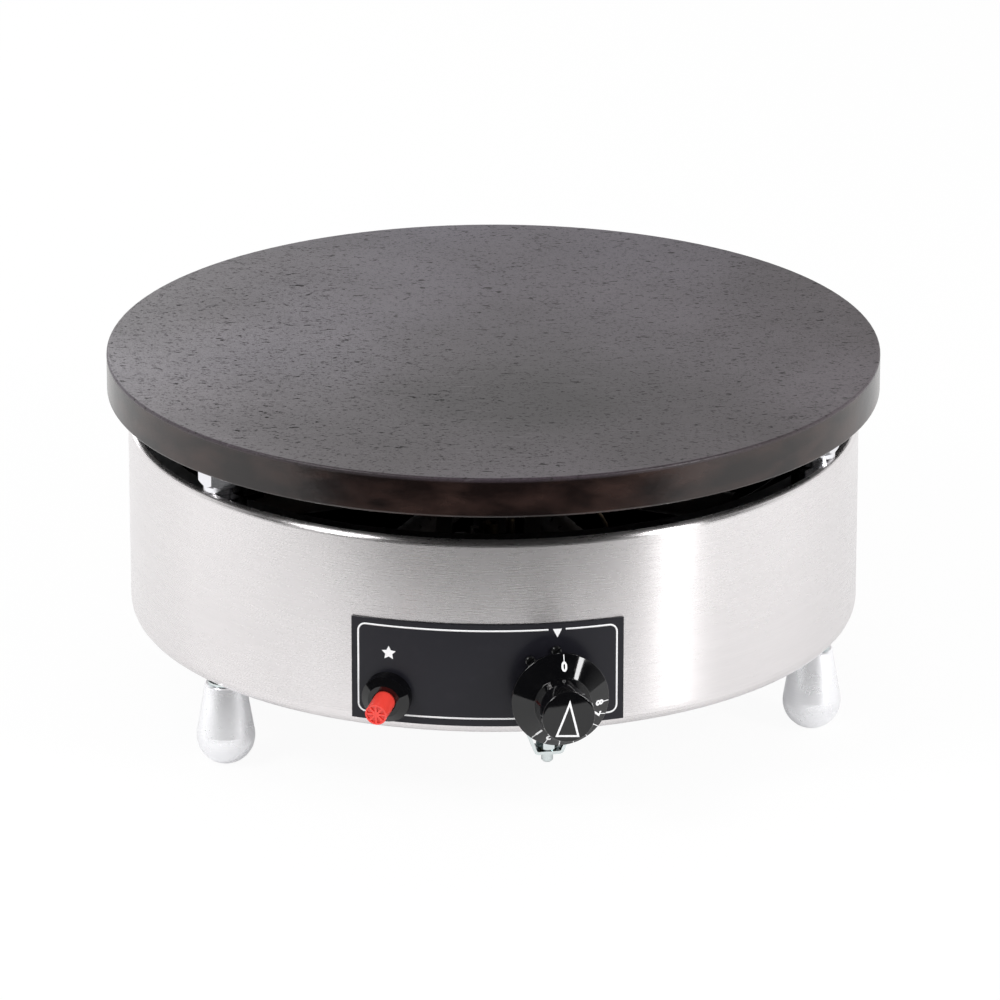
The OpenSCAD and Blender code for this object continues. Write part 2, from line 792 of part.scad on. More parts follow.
// The flat ring in the drum's top, with the studs' brackets welded under it
module top_ring() {
    ring_z0 = shell_z1 - shell_t;
    ring_r0 = top_hole_r;
    weld_z = shell_z1 - shell_t / 2;
    weld_r1 = post_circle_r + stud_d / 2 + 1;
    tab_z0 = ring_z0 - bracket_tab_t;
    tab_r0 = post_circle_r - bracket_reach;
    leg_r1 = sqrt(pow(shell_in_r, 2) - pow(bracket_w / 2, 2)) - wall_gap;
    leg_r0 = leg_r1 - bracket_leg_t;
    leg_z1 = shell_z1 - shell_top_r;
    color("silver")
        difference() {
            union() {
                rotate_extrude()
                    translate([ring_r0, ring_z0]) square([shell_lip_r - seat_gap - ring_r0, shell_t]);
                for (i = [0 : post_count - 1])
                    facing(post_az(i))
                        strip(bracket_w, [
                            [tab_r0, tab_z0],
                            [leg_r0, tab_z0],
                            [leg_r0, ring_z0 - bracket_h],
                            [leg_r1, ring_z0 - bracket_h],
                            [leg_r1, leg_z1],
                            [shell_lip_r, ring_z0],
                            [weld_r1, ring_z0],
                            [weld_r1, weld_z],
                            [ring_r0 + 1, weld_z],
                            [ring_r0 + 1, ring_z0],
                            [tab_r0, ring_z0]
                        ]);
            }
            for (i = [0 : post_count - 1])
                facing(post_az(i))
                    translate([0, -post_circle_r, 0])
                        bar(stud_d + 2 * hole_gap, tab_z0 - cut, shell_z1 + cut);
        }
}

module base_plate() {
    color("silver")
        difference() {
            bar(2 * (base_lip_r - seat_gap), shell_z0, base_z1);
            for (i = [0 : slot_count - 1])
                facing(360 * (i + 0.5) / slot_count)
                    translate([-slot_w / 2, -slot_r0 - slot_l, shell_z0 - cut])
                        cube([slot_w, slot_l, base_t + 2 * cut]);
            for (i = [0 : post_count - 1])
                facing(post_az(i))
                    translate([0, -post_circle_r, 0])
                        bar(foot_bolt_d + 2 * hole_gap, shell_z0 - cut, base_z1 + cut);
            clamp_slot();
        }
}

module heat_shield() {
    window_az = [-30, 32];
    notch_az = 7;
    color("darkgray")
        difference() {
            bar(2 * shield_r, base_z1, shield_z1);
            bar(2 * (shield_r - shield_t), base_z1 - cut, shield_z1 + cut);
            wedge(window_az[0], window_az[1], far, base_z1 - cut, base_z1 + window_h);
            wedge(inlet_az - notch_az, inlet_az + notch_az, far, base_z1 - cut, tap_z + elbow_w);
        }
}

module foot(i) {
    ball_r = foot_d / 2;
    ball_z = sqrt(pow(ball_r, 2) - pow(foot_flat_d / 2, 2));
    neck_r = foot_neck_d / 2;
    neck_edge = 0.6;
    rise = foot_h - ball_z;
    taper = asin(ball_r / norm([neck_r, rise])) - atan2(neck_r, rise);
    low = -asin(ball_z / ball_r);
    steps = 14;
    ball = [
        for (k = [0 : steps])
            let (a = low + (taper - low) * k / steps)
            [ball_r * cos(a), ball_z + ball_r * sin(a)]
    ];
    color("gainsboro")
        facing(post_az(i))
            translate([0, -post_circle_r, 0])
                difference() {
                    rotate_extrude()
                        polygon(concat(
                            [[0, 0]],
                            ball,
                            [[neck_r, foot_h - neck_edge], [neck_r - neck_edge, foot_h], [0, foot_h]]
                        ));
                    bar(foot_bolt_d + 2 * run_gap, foot_h - foot_bolt_grip - 1, foot_h + cut);
                }
}

module foot_washers() {
    color("silver")
        for (i = [0 : post_count - 1])
            facing(post_az(i))
                translate([0, -post_circle_r, 0])
                    difference() {
                        bar(washer_d, foot_h, shell_z0);
                        bar(foot_bolt_d + 2 * hole_gap, foot_h - cut, shell_z0 + cut);
                    }
}

module foot_bolts() {
    head_h = 0.65 * foot_bolt_d;
    color("silver")
        for (i = [0 : post_count - 1])
            facing(post_az(i))
                translate([0, -post_circle_r, 0]) {
                    hex(foot_bolt_af, base_z1, base_z1 + head_h);
                    bar(foot_bolt_d, foot_h - foot_bolt_grip, base_z1 + cut);
                }
}

module burner_hub() {
    z0 = burner_z - burner_hub_h / 2;
    z1 = burner_z + burner_hub_h / 2;
    w = burner_hub_wall;
    color("gray")
        difference() {
            bar(burner_hub_d, z0, z1, $fn = hub_fn);
            bar(burner_hub_d - 2 * w, z0 + w, z1 - w);
            bar(mix_d + 2 * run_gap, z0 - cut, z0 + w + cut);
            for (i = [0 : arm_count - 1])
                outward(arm_az(i), burner_z)
                    bar(arm_d + 2 * run_gap, burner_hub_d / 2 - 8, burner_hub_d / 2 + 5);
        }
}

module burner_arm(i) {
    r0 = burner_hub_d / 2 - burner_hub_wall;
    first_port = burner_hub_d / 2 + 10;
    color("gray")
        outward(arm_az(i), burner_z)
            difference() {
                bar(arm_d, r0, arm_reach, $fn = hub_fn);
                bar(arm_d - 2 * arm_wall, r0 - cut, arm_reach - arm_wall);
                for (r = [first_port : port_pitch : arm_reach - 8], side = [-1, 1])
                    translate([0, 0, r])
                        rotate([0, 0, side * port_angle])
                            rotate([-90, 0, 0]) bar(port_d, 0, arm_d);
            }
}

// The outside of the mixing tube, or its inside at an inset
module mixing_shape(inset) {
    d = mix_d - 2 * inset;
    flare_r1 = mouth_r - mouth_t;
    flare_r0 = flare_r1 - flare_l;
    hub_z = burner_z - burner_hub_h / 2 + burner_hub_wall;
    weld_w = 0.8;
    on_tap_axis() {
        bar(d, mix_bend_r, flare_r0);
        translate([0, 0, flare_r0])
            cylinder(d1 = d, d2 = mouth_d - 2 * inset, h = flare_l);
        if (inset == 0) bar(mouth_d, flare_r1 - weld_w, mouth_r);
        translate([0, mix_bend_r, mix_bend_r])
            rotate([90, 0, 90])
                rotate([0, 0, 180])
                    rotate_extrude(angle = 90)
                        translate([mix_bend_r, 0]) circle(d = d, $fn = hub_fn);
        rotate([-90, 0, 0]) {
            bar(d, mix_bend_r, hub_z - tap_z + (inset > 0 ? cut : 0));
            if (inset == 0) bar(d + 2 * weld_w, mix_bend_r - weld_w, mix_bend_r + weld_w);
        }
    }
}

module air_windows(r0, r1) {
    for (i = [0 : air_window_count - 1])
        rotate([0, 0, 45 + 360 * i / air_window_count])
            translate([air_window_r, 0, 0]) bar(air_window_d, r0, r1);
}

module mixing_tube() {
    color("darkgray")
        difference() {
            mixing_shape(0);
            mixing_shape(mix_wall);
            on_tap_axis() {
                bar(holder_d + 2 * run_gap, mouth_r - mouth_t - cut, mouth_r + cut);
                air_windows(mouth_r - mouth_t - cut, mouth_r + cut);
            }
        }
}

module air_shutter() {
    r0 = mouth_r + rest_gap;
    r1 = r0 + shutter_t;
    tab_w = 6;
    tab_l = 3;
    color("goldenrod")
        on_tap_axis()
            difference() {
                union() {
                    bar(mouth_d, r0, r1);
                    translate([-tab_w / 2, -mouth_d / 2 - tab_l, r0])
                        cube([tab_w, mouth_d / 2 + tab_l, shutter_t]);
                }
                bar(holder_d + 2 * run_gap, r0 - cut, r1 + cut);
                air_windows(r0 - cut, r1 + cut);
            }
}

module injector_holder() {
    color("goldenrod")
        on_tap_axis()
            difference() {
                union() {
                    bar(holder_d, holder_r0, tap_r0);
                    hex(holder_af, holder_hex_r1 - holder_hex_l, holder_hex_r1);
                }
                bar(gas_way_d, holder_r0 - cut, tap_r0 + cut);
            }
}

module injector() {
    shank_d = gas_way_d - 2 * run_gap;
    color("gold")
        on_tap_axis()
            difference() {
                union() {
                    hex(injector_af, holder_r0 - injector_head_l, holder_r0);
                    bar(shank_d, holder_r0 - cut, holder_r0 + injector_l);
                }
                bar(jet_d, holder_r0 - injector_head_l - cut, holder_r0 + injector_l + cut);
            }
}

module burner_column() {
    at_r = 20;
    color("silver")
        difference() {
            facing(knob_az)
                translate([0, -at_r, 0]) {
                    bar(column_d, base_z1, tap_z - mix_d / 4);
                    bar(column_d + 2 * column_foot_w, base_z1, base_z1 + stand_t);
                }
            on_tap_axis() bar(mix_d + 2 * seat_gap, -far, far);
        }
}

module burner_stands() {
    arm_z0 = burner_z - arm_d / 2 - seat_gap;
    web_r = arm_reach - stand_inset;
    tab_l = 14;
    color("silver")
        for (i = [2, 4, 6])
            facing(arm_az(i))
                strip(stand_w, [
                    [web_r, base_z1],
                    [web_r + stand_t + tab_l, base_z1],
                    [web_r + stand_t + tab_l, base_z1 + stand_t],
                    [web_r + stand_t, base_z1 + stand_t],
                    [web_r + stand_t, arm_z0],
                    [web_r - tab_l, arm_z0],
                    [web_r - tab_l, arm_z0 - stand_t],
                    [web_r, arm_z0 - stand_t]
                ]);
}

// Places of the pilot, the thermocouple and the electrode on their plate
module at_pilot(step) {
    translate([step * pilot_pitch, -pilot_r, 0]) children();
}

module pilot_bracket() {
    plate_half = 8;
    plate_margin = 6;
    web_r = pilot_r - plate_half - stand_t;
    plate_w = 2 * (pilot_pitch + plate_margin);
    web_w = 14;
    web_x = -9;
    tab_l = 12;
    top_z = pilot_plate_z;
    color("silver")
        difference() {
            union() {
                translate([web_x, 0, 0])
                    strip(web_w, [
                        [web_r - tab_l, base_z1],
                        [web_r + stand_t, base_z1],
                        [web_r + stand_t, top_z],
                        [web_r, top_z],
                        [web_r, base_z1 + stand_t],
                        [web_r - tab_l, base_z1 + stand_t]
                    ]);
                translate([-plate_w / 2, -pilot_r - plate_half, top_z - stand_t])
                    cube([plate_w, 2 * plate_half + stand_t, stand_t]);
            }
            at_pilot(0) bar(pilot_d + 2 * seat_gap, top_z - stand_t - cut, top_z + cut);
            at_pilot(1) bar(probe_d + 2 * seat_gap, top_z - stand_t - cut, top_z + cut);
            at_pilot(-1) bar(ceramic_d + 2 * seat_gap, top_z - stand_t - cut, top_z + cut);
        }
}

module pilot_burner() {
    nut_z1 = pilot_plate_z - stand_t - seat_gap;
    nut_h = 4;
    hood_z1 = pilot_plate_z + hood_h;
    hood_d = pilot_d + 1;
    slot = 3;
    slot_depth = 5;
    color("goldenrod")
        at_pilot(0)
            difference() {
                union() {
                    bar(pilot_d, pilot_base_z, hood_z1 - 7);
                    rotate([0, 0, 30]) hex(pilot_d + 2, nut_z1 - nut_h, nut_z1);
                    bar(hood_d, pilot_plate_z + seat_gap, hood_z1);
                }
                bar(hood_d - 2, hood_z1 - slot_depth - 1, hood_z1 + cut);
                translate([-hood_d, -slot / 2, hood_z1 - slot_depth])
                    cube([2 * hood_d, slot, slot_depth + cut]);
                bar(jet_d, pilot_base_z - cut, hood_z1);
            }
}

module pilot_tube() {
    color("tan") wire(route(pilot_route), pilot_tube_d);
}

module thermocouple() {
    tip_z = burner_z + 5;
    nut_z1 = pilot_plate_z - stand_t - seat_gap;
    nut_h = 5;
    color("sienna")
        at_pilot(1) {
            bar(probe_d, probe_base_z, tip_z - probe_d / 2);
            translate([0, 0, tip_z - probe_d / 2]) sphere(d = probe_d);
            rotate([0, 0, 30]) hex(probe_d + 2.2, nut_z1 - nut_h, nut_z1);
        }
}

module thermocouple_lead() {
    color("sienna") wire(route(probe_route), probe_lead_d);
}

module spark_electrode() {
    ceramic_z1 = pilot_plate_z + ceramic_top_l;
    pin_z1 = pilot_plate_z + hood_h - 2;
    wire_d = 1.4;
    bend_l = 4;
    collar = ceramic_d + 1.6;
    color("white")
        at_pilot(-1) {
            bar(ceramic_d, ceramic_base_z, ceramic_z1);
            bar(collar, pilot_plate_z + seat_gap, pilot_plate_z + 2);
            bar(wire_d, ceramic_z1 - cut, pin_z1);
            translate([0, 0, pin_z1 - wire_d / 2])
                rotate([0, 90, 0]) bar(wire_d, -wire_d / 2, bend_l);
        }
}

module ignition_lead() {
    color("orangered") wire(route(spark_route), spark_lead_d);
}

module thermostat_bulb() {
    color("tan")
        facing(bulb_az)
            translate([0, -bulb_r, bulb_z])
                rotate([0, 90, 0]) bar(bulb_d, -bulb_l / 2, bulb_l / 2);
}

module bulb_clips() {
    flange_z = shell_z1 - shell_t - seat_gap;
    ring_d = 2 * (bulb_z - flange_z) + clip_t / 2;
    color("silver")
        facing(bulb_az)
            for (x = [-clip_spread, clip_spread])
                translate([x, 0, 0])
                    difference() {
                        union() {
                            translate([-clip_w / 2, -top_hole_r - 5, flange_z - clip_t])
                                cube([clip_w, top_hole_r + 5 - bulb_r, clip_t]);
                            translate([0, -bulb_r, bulb_z])
                                rotate([0, 90, 0]) bar(ring_d, -clip_w / 2, clip_w / 2);
                        }
                        translate([0, -bulb_r, bulb_z])
                            rotate([0, 90, 0]) bar(bulb_d + 2 * seat_gap, -clip_w, clip_w);
                    }
}

module capillary() {
    color("tan") wire(route(capillary_route), capillary_d);
}

module control_panel() {
    z0 = shell_z0 + panel_rise;
    color([0.16, 0.16, 0.18])
        difference() {
            rotate([0, 0, 270 - panel_arc / 2])
                rotate_extrude(angle = panel_arc)
                    translate([panel_r0, z0]) square([panel_t, panel_h]);
            on_tap_axis() {
                bar(nose_d + 2 * hole_gap, shell_in_r - through, panel_r1 + through);
                screw_places() bar(screw_hole_d, shell_in_r - through, panel_r1 + through);
            }
            on_igniter_axis() bar(igniter_d + 2 * hole_gap, -2 * through, through);
        }
}

// The way of the feed pipe's end into a port, following the pipe's own bend
module pipe_way(az0, az1) {
    translate([0, 0, tap_z])
        rotate([0, 0, 270 + az0])
            rotate_extrude(angle = az1 - az0)
                translate([pipe_run_r, 0]) circle(d = pipe_d + 2 * run_gap, $fn = hub_fn);
}

module port_boss(az) {
    facing(az)
        translate([0, -pipe_run_r, tap_z])
            rotate([0, 90, 0]) bar(port_boss_d, -port_boss_l / 2, port_boss_l / 2);
}

module tap_body() {
    color("darkkhaki")
        difference() {
            union() {
                on_tap_axis() {
                    bar(tap_d, tap_r0, flange_r1);
                    bar(nose_d, flange_r1 - cut, nose_r1);
                    intersection() {
                        bar(flange_d, flange_r0, flange_r1);
                        translate([-flange_d, flange_low, flange_r0]) cube([2 * flange_d, far, far]);
                    }
                    translate([0, 0, pilot_port_r])
                        rotate([0, -90, 0]) bar(side_port_d, 0, side_port_reach);
                    translate([0, 0, probe_port_r])
                        rotate([0, -90, 0]) bar(side_port_d, 0, side_port_reach);
                }
                port_boss(tap_port_az);
            }
            on_tap_axis() {
                bar(stem_d + 2 * run_gap, chamber_r1 - cut, nose_r1 + cut);
                bar(chamber_d, chamber_r0, chamber_r1);
                bar(pin_d + 2 * run_gap, tap_r0 - cut, chamber_r0 + cut);
                translate([0, 0, pipe_run_r]) rotate([0, 90, 0]) bar(pipe_d / 2, 0, tap_d / 2 + 2);
                screw_places() bar(screw_d + 2 * run_gap, flange_r0 - cut, flange_r1 + cut);
            }
            pipe_way(pipe_az0 - 0.3, pipe_az0 + 20);
        }
}

module tap_bracket() {
    t = tap_bracket_t;
    bend_r0 = flange_r0 - 2 * t;
    bend_y = flange_d / 2 + seat_gap;
    color("silver")
        on_tap_axis()
            difference() {
                union() {
                    translate([-tap_bracket_w / 2, flange_low, flange_r1])
                        cube([tap_bracket_w, bend_y + t - flange_low, t]);
                    translate([-tongue_w / 2, bend_y, bend_r0])
                        cube([tongue_w, t, tap_bracket_r1 - bend_r0]);
                    translate([-tongue_w / 2, tongue_y, bend_r0])
                        cube([tongue_w, bend_y + t - tongue_y, t]);
                    translate([-tongue_w / 2, tongue_y, flange_r0 - tongue_l])
                        cube([tongue_w, t, bend_r0 + t - flange_r0 + tongue_l]);
                }
                bar(nose_d + 2 * hole_gap, flange_r1 - cut, tap_bracket_r1 + cut);
                screw_places() bar(screw_hole_d, flange_r1 - cut, tap_bracket_r1 + cut);
            }
}

// The clamp's outline, moved in by an inset
function clamp_outline(inset) =
    let (
        top = clamp_top - inset,
        half = clamp_half - inset,
        foot_half = clamp_tab_w / 2 - inset * tan(45 - clamp_lean / 2),
        taper_y = clamp_taper_y + inset * tan(clamp_lean / 2),
        bottom = clamp_bottom + inset,
        r = clamp_corner_r - inset
    )
    rounded([
        [half, top, r],
        [half, taper_y, r],
        [foot_half, bottom, r],
        [-foot_half, bottom, r],
        [-half, taper_y, r],
        [-half, top, r]
    ]);

module tap_clamp() {
    color("silver")
        difference() {
            on_tap_axis()
                translate([0, 0, clamp_r0])
                    linear_extrude(clamp_w)
                        difference() {
                            polygon(clamp_outline(0));
                            polygon(clamp_outline(clamp_t));
                        }
            clamp_bolt_place()
                bar(clamp_bolt_d + 2 * hole_gap, clamp_bottom - cut, clamp_bottom + clamp_t + cut);
        }
}

// Frame with z up through the clamp's bolt and its zero at the tap's axis
module clamp_bolt_place() {
    facing(knob_az) translate([0, -clamp_mid_r, tap_z]) children();
}

module clamp_bolt() {
    end_r = 1;
    low = clamp_bottom - clamp_bolt_end;
    color("silver")
        clamp_bolt_place() {
            bar(clamp_bolt_d, low + end_r, -tap_d / 2 - seat_gap);
            translate([0, 0, low])
                cylinder(d1 = clamp_bolt_d - 2 * end_r, d2 = clamp_bolt_d, h = end_r);
        }
}

module clamp_nut() {
    z0 = clamp_bottom + clamp_t + seat_gap;
    z1 = z0 + clamp_nut_h;
    flat_r = clamp_nut_af / 2 - 0.2;
    color("silver")
        clamp_bolt_place()
            difference() {
                intersection() {
                    hex(clamp_nut_af, z0, z1);
                    translate([0, 0, z0])
                        cylinder(r1 = flat_r, r2 = flat_r + clamp_nut_h, h = clamp_nut_h);
                    translate([0, 0, z0])
                        cylinder(r1 = flat_r + 2 * clamp_nut_h, r2 = flat_r, h = clamp_nut_h);
                }
                bar(clamp_bolt_d + 2 * run_gap, z0 - cut, z1 + cut);
            }
}

// A slotted screw through the panel, into the tap's flange
module panel_screw() {
    top = panel_r1 + screw_head_h;
    edge = 0.5;
    slot_depth = 1;
    difference() {
        union() {
            bar(screw_head_d, panel_r1 + seat_gap, top - edge);
            translate([0, 0, top - edge])
                cylinder(d1 = screw_head_d, d2 = screw_head_d - 2 * edge, h = edge);
            bar(screw_d, flange_r0, top - slot_depth);
        }
        translate([-screw_head_d, -screw_slot_w / 2, top - slot_depth])
            cube([2 * screw_head_d, screw_slot_w, slot_depth + cut]);
    }
}

module panel_screws() {
    color("black") on_tap_axis() screw_places(panel_screw_angles) panel_screw();
}

module bypass_screw() {
    color("black") on_tap_axis() screw_places(bypass_angles) rotate([0, 0, 35]) panel_screw();
}

module tap_stem() {
    flat_r0 = nose_r1 + 1;
    color("silver")
        on_tap_axis()
            difference() {
                union() {
                    bar(stem_d, stop_r1 - stop_t, stem_r1);
                    bar(chamber_d - 1, stop_r1 - stop_t, stop_r1);
                }
                translate([-stem_d, stem_flat, flat_r0]) cube([2 * stem_d, stem_d, far]);
            }
}

module push_pin() {
    color("silver")
        on_tap_axis() {
            bar(pin_d, pin_r0, pin_head_r1);
            bar(chamber_d - 1, pin_head_r0, pin_head_r1);
        }
}

module stem_spring() {
    spring_d = pin_d + 2 * spring_wire + 1.4;
    color("silver")
        on_tap_axis()
            coil(spring_d, spring_wire, spring_turns, chamber_r0 + seat_gap, pin_head_r0 - seat_gap);
}

module gas_knob() {
    edge_r1 = skirt_r0 + skirt_edge_t;
    hollow_r1 = face_r - 2 * knob_wall;
    face_edge = 0.8;
    color([0.1, 0.1, 0.11])
        on_tap_axis()
            difference() {
                rotate_extrude()
                    polygon(rounded([
                        [0, skirt_r0, 0],
                        [skirt_d / 2, skirt_r0, 0.3],
                        [skirt_d / 2, edge_r1, 0.4],
                        [grip_d / 2, grip_r0, 0.6],
                        [face_d / 2, face_r, face_edge],
                        [0, face_r, 0]
                    ]));
                rotate_extrude()
                    polygon([
                        [hub_sleeve_d / 2, skirt_r0 - cut],
                        [skirt_d / 2 - knob_wall, skirt_r0 - cut],
                        [skirt_d / 2 - knob_wall, edge_r1 - knob_wall / 2],
                        [grip_d / 2 - knob_wall, grip_r0 - knob_wall / 2],
                        [face_d / 2 - knob_wall, hollow_r1],
                        [hub_sleeve_d / 2, hollow_r1]
                    ]);
                difference() {
                    bar(stem_d + 2 * run_gap, skirt_r0 - cut, stem_r1 + 0.5);
                    translate([-stem_d, stem_flat + 1, skirt_r0 - 2 * cut]) cube([2 * stem_d, stem_d, far]);
                }
            }
}

module knob_clip() {
    t = 0.8;
    w = 3.6;
    color("silver")
        on_tap_axis()
            translate([-w / 2, stem_flat + 0.1, skirt_r0 + 2])
                cube([w, t, stem_r1 - skirt_r0 - 3]);
}

module igniter_bezel() {
    color([0.13, 0.13, 0.14])
        difference() {
            on_igniter_axis() {
                bar(bezel_d, -3, bezel_side);
                translate([0, 0, bezel_side])
                    cylinder(d1 = bezel_d, d2 = bezel_face_d, h = bezel_cone_h);
            }
            bar(2 * (panel_r1 + wall_gap), 0, far, $fn = wall_fn);
            on_igniter_axis() {
                bar(igniter_neck_d + 2 * run_gap, -5, bezel_side + seat_gap);
                bar(button_d + 4 * hole_gap, 0, bezel_side + bezel_cone_h + cut);
            }
        }
}

module igniter_body() {
    front = -1.5;
    color([0.2, 0.2, 0.2])
        on_igniter_axis()
            difference() {
                union() {
                    bar(igniter_d, -igniter_l, front);
                    bar(igniter_neck_d, front - cut, bezel_side);
                    bar(igniter_d / 3, -igniter_l - igniter_terminal_l, -igniter_l + cut);
                }
                bar(button_d + 2 * run_gap, button_bore_u, bezel_side + cut);
            }
}

module igniter_nut() {
    nut_h = 3;
    lean = igniter_nut_af / 2 / cos(30) * tan(igniter_tilt);
    z1 = -panel_t - shell_t - lean - 0.8;
    color([0.2, 0.2, 0.2])
        on_igniter_axis()
            difference() {
                hex(igniter_nut_af, z1 - nut_h, z1);
                bar(igniter_d + 2 * run_gap, z1 - nut_h - cut, z1 + cut);
            }
}

module igniter_button() {
    rim = 0.8;
    spokes = 8;
    spoke_w = 1.1;
    color("tomato")
        on_igniter_axis() {
            difference() {
                bar(button_d, button_back_u, button_reach);
                bar(button_d - 2 * rim, button_reach - button_hollow, button_reach + cut);
            }
            for (i = [0 : spokes / 2 - 1])
                rotate([0, 0, 360 * i / spokes])
                    translate([-button_d / 2 + rim / 2, -spoke_w / 2, button_reach - button_hollow - 0.2])
                        cube([button_d - rim, spoke_w, button_hollow]);
        }
}

module igniter_spring() {
    color("silver")
        on_igniter_axis()
            coil(
                button_d - 1.4,
                spring_wire,
                spring_turns,
                button_bore_u + seat_gap,
                button_back_u - seat_gap
            );
}

module inlet_elbow() {
    nut_r1 = sqrt(pow(shell_in_r, 2) - pow(inlet_nut_af / 2 / cos(30), 2)) - wall_gap;
    thread_r0 = shell_r + wall_gap + inlet_nut_h + hole_gap;
    block_r0 = pipe_run_r - elbow_w / 2;
    block_r1 = pipe_run_r + elbow_w / 2;
    color("goldenrod")
        difference() {
            union() {
                outward(inlet_az, tap_z) {
                    translate([-elbow_w / 2, -elbow_w / 2, block_r0])
                        cube([elbow_w, elbow_w, block_r1 - block_r0]);
                    bar(inlet_d - 2 * hole_gap, block_r1 - cut, thread_r0);
                    bar(inlet_d, thread_r0, shell_r + inlet_reach);
                    hex(inlet_nut_af, nut_r1 - inlet_nut_h, nut_r1);
                }
                port_boss(inlet_port_az);
            }
            outward(inlet_az, tap_z) {
                bar(inlet_bore, pipe_run_r, shell_r + inlet_reach + cut);
                translate([0, 0, pipe_run_r])
                    rotate([0, -90, 0]) bar(pipe_d - 2 * pipe_wall, 0, elbow_w / 2 + 2);
            }
            pipe_way(pipe_az1 - 20, pipe_az1 + 0.3);
        }
}

module inlet_locknut() {
    r0 = shell_r + wall_gap;
    color("goldenrod")
        outward(inlet_az, tap_z)
            difference() {
                hex(inlet_nut_af, r0, r0 + inlet_nut_h);
                bar(inlet_d + 2 * run_gap, r0 - cut, r0 + inlet_nut_h + cut);
            }
}

module feed_pipe() {
    color("peru")
        translate([0, 0, tap_z])
            rotate([0, 0, 270 + pipe_az0])
                rotate_extrude(angle = pipe_az1 - pipe_az0)
                    translate([pipe_run_r, 0])
                        difference() {
                            circle(d = pipe_d, $fn = hub_fn);
                            circle(d = pipe_d - 2 * pipe_wall, $fn = hub_fn);
                        }
}

griddle_plate();
griddle_studs();
for (i = [0 : post_count - 1])
    levelling_post(i);
outer_shell();
top_ring();
base_plate();
heat_shield();
for (i = [0 : post_count - 1])
    foot(i);
foot_washers();
foot_bolts();
burner_hub();
for (i = [0 : arm_count - 1])
    burner_arm(i);
mixing_tube();
air_shutter();
injector_holder();
injector();
burner_column();
burner_stands();
pilot_bracket();
pilot_burner();
pilot_tube();
thermocouple();
thermocouple_lead();
spark_electrode();
ignition_lead();
thermostat_bulb();
bulb_clips();
capillary();
control_panel();
tap_body();
tap_bracket();
tap_clamp();
clamp_bolt();
clamp_nut();
panel_screws();
bypass_screw();
tap_stem();
push_pin();
stem_spring();
gas_knob();
knob_clip();
igniter_bezel();
igniter_body();
igniter_nut();
igniter_button();
igniter_spring();
inlet_elbow();
inlet_locknut();
feed_pipe();
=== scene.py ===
"""Looks of a gas crepe maker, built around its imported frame.

Lengths are in metres in the frame's own axes: +Z is up and the control panel faces -Y. A direction
round the machine is an azimuth in degrees, counted from the panel's centre towards +X.
"""

import json
import logging
import math
from collections.abc import Callable, Sequence
from dataclasses import dataclass
from enum import Enum

import bmesh
import bpy
from bpy.types import Material, Mesh, NodeSocket, Object
from mathutils import Matrix, Vector


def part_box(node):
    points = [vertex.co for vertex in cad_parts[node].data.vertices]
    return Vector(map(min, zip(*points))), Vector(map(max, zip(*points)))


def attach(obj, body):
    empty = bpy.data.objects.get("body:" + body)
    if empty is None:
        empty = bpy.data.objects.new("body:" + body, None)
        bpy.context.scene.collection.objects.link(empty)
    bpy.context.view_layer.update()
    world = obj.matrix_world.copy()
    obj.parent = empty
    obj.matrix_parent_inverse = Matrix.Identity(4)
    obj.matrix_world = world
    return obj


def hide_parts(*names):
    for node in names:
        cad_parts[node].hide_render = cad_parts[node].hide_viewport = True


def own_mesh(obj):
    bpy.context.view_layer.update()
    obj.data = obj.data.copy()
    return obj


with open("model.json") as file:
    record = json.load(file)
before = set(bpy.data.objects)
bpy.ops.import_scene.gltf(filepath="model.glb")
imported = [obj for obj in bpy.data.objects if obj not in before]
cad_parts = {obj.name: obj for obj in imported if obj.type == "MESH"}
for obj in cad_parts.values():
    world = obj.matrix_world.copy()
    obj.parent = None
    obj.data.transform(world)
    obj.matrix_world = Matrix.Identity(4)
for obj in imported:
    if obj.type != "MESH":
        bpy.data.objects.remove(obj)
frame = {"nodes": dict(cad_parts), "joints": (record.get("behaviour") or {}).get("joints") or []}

log = logging.getLogger("crepe_maker")

MM = 0.001
SHARP_EDGE = math.radians(35)
MERGE_DISTANCE = 1e-7
ON_AXIS = 1e-9
LATHE_SIDES = 160
CORNER_STEPS = 6
CUT_ROUNDS = 4
PRINT_THICKNESS = 0.05 * MM
PRINT_LIFT = 0.02 * MM
PRINT_FINE = 1.5 * MM
FIGURE_FINE = 0.5 * MM
FIGURE_SHARE = 0.7
FIGURE_WEIGHT = 0.06
Colour = tuple[float, float, float]
Point = tuple[float, float]
Wrap = Callable[[float, float, float], Vector]


# Placing


@dataclass(frozen=True)
class Axis:
    """A straight axis that points out of the machine.

    Attributes:
        origin: a point on the axis.
        outward: unit vector out of the machine.
    """

    origin: Vector
    outward: Vector

    def facing(self, reach: float = 0.0) -> Matrix:
        """Gives the axes of a face square to this axis.

        Args:
            reach: distance of the face from the origin, along the axis.

        Returns:
            A matrix that takes x to the viewer's right, y up and z outward.
        """
        right = Vector((0, 0, 1)).cross(self.outward).normalized()
        up = self.outward.cross(right)
        turn = Matrix((right, up, self.outward)).transposed().to_4x4()
        return Matrix.Translation(self.origin + reach * self.outward) @ turn

    def reach_of(self, node: str) -> tuple[float, float]:
        """Measures a node along the axis.

        Args:
            node: name of the node.

        Returns:
            The distances of its nearest and furthest point from the origin.
        """
        along = [
            (v.co - self.origin).dot(self.outward) for v in frame["nodes"][node].data.vertices
        ]
        return min(along), max(along)


def joint_row(name: str) -> dict:
    """Gives the frame's row of a joint."""
    return next(j for j in frame["joints"] if j["name"] == name)


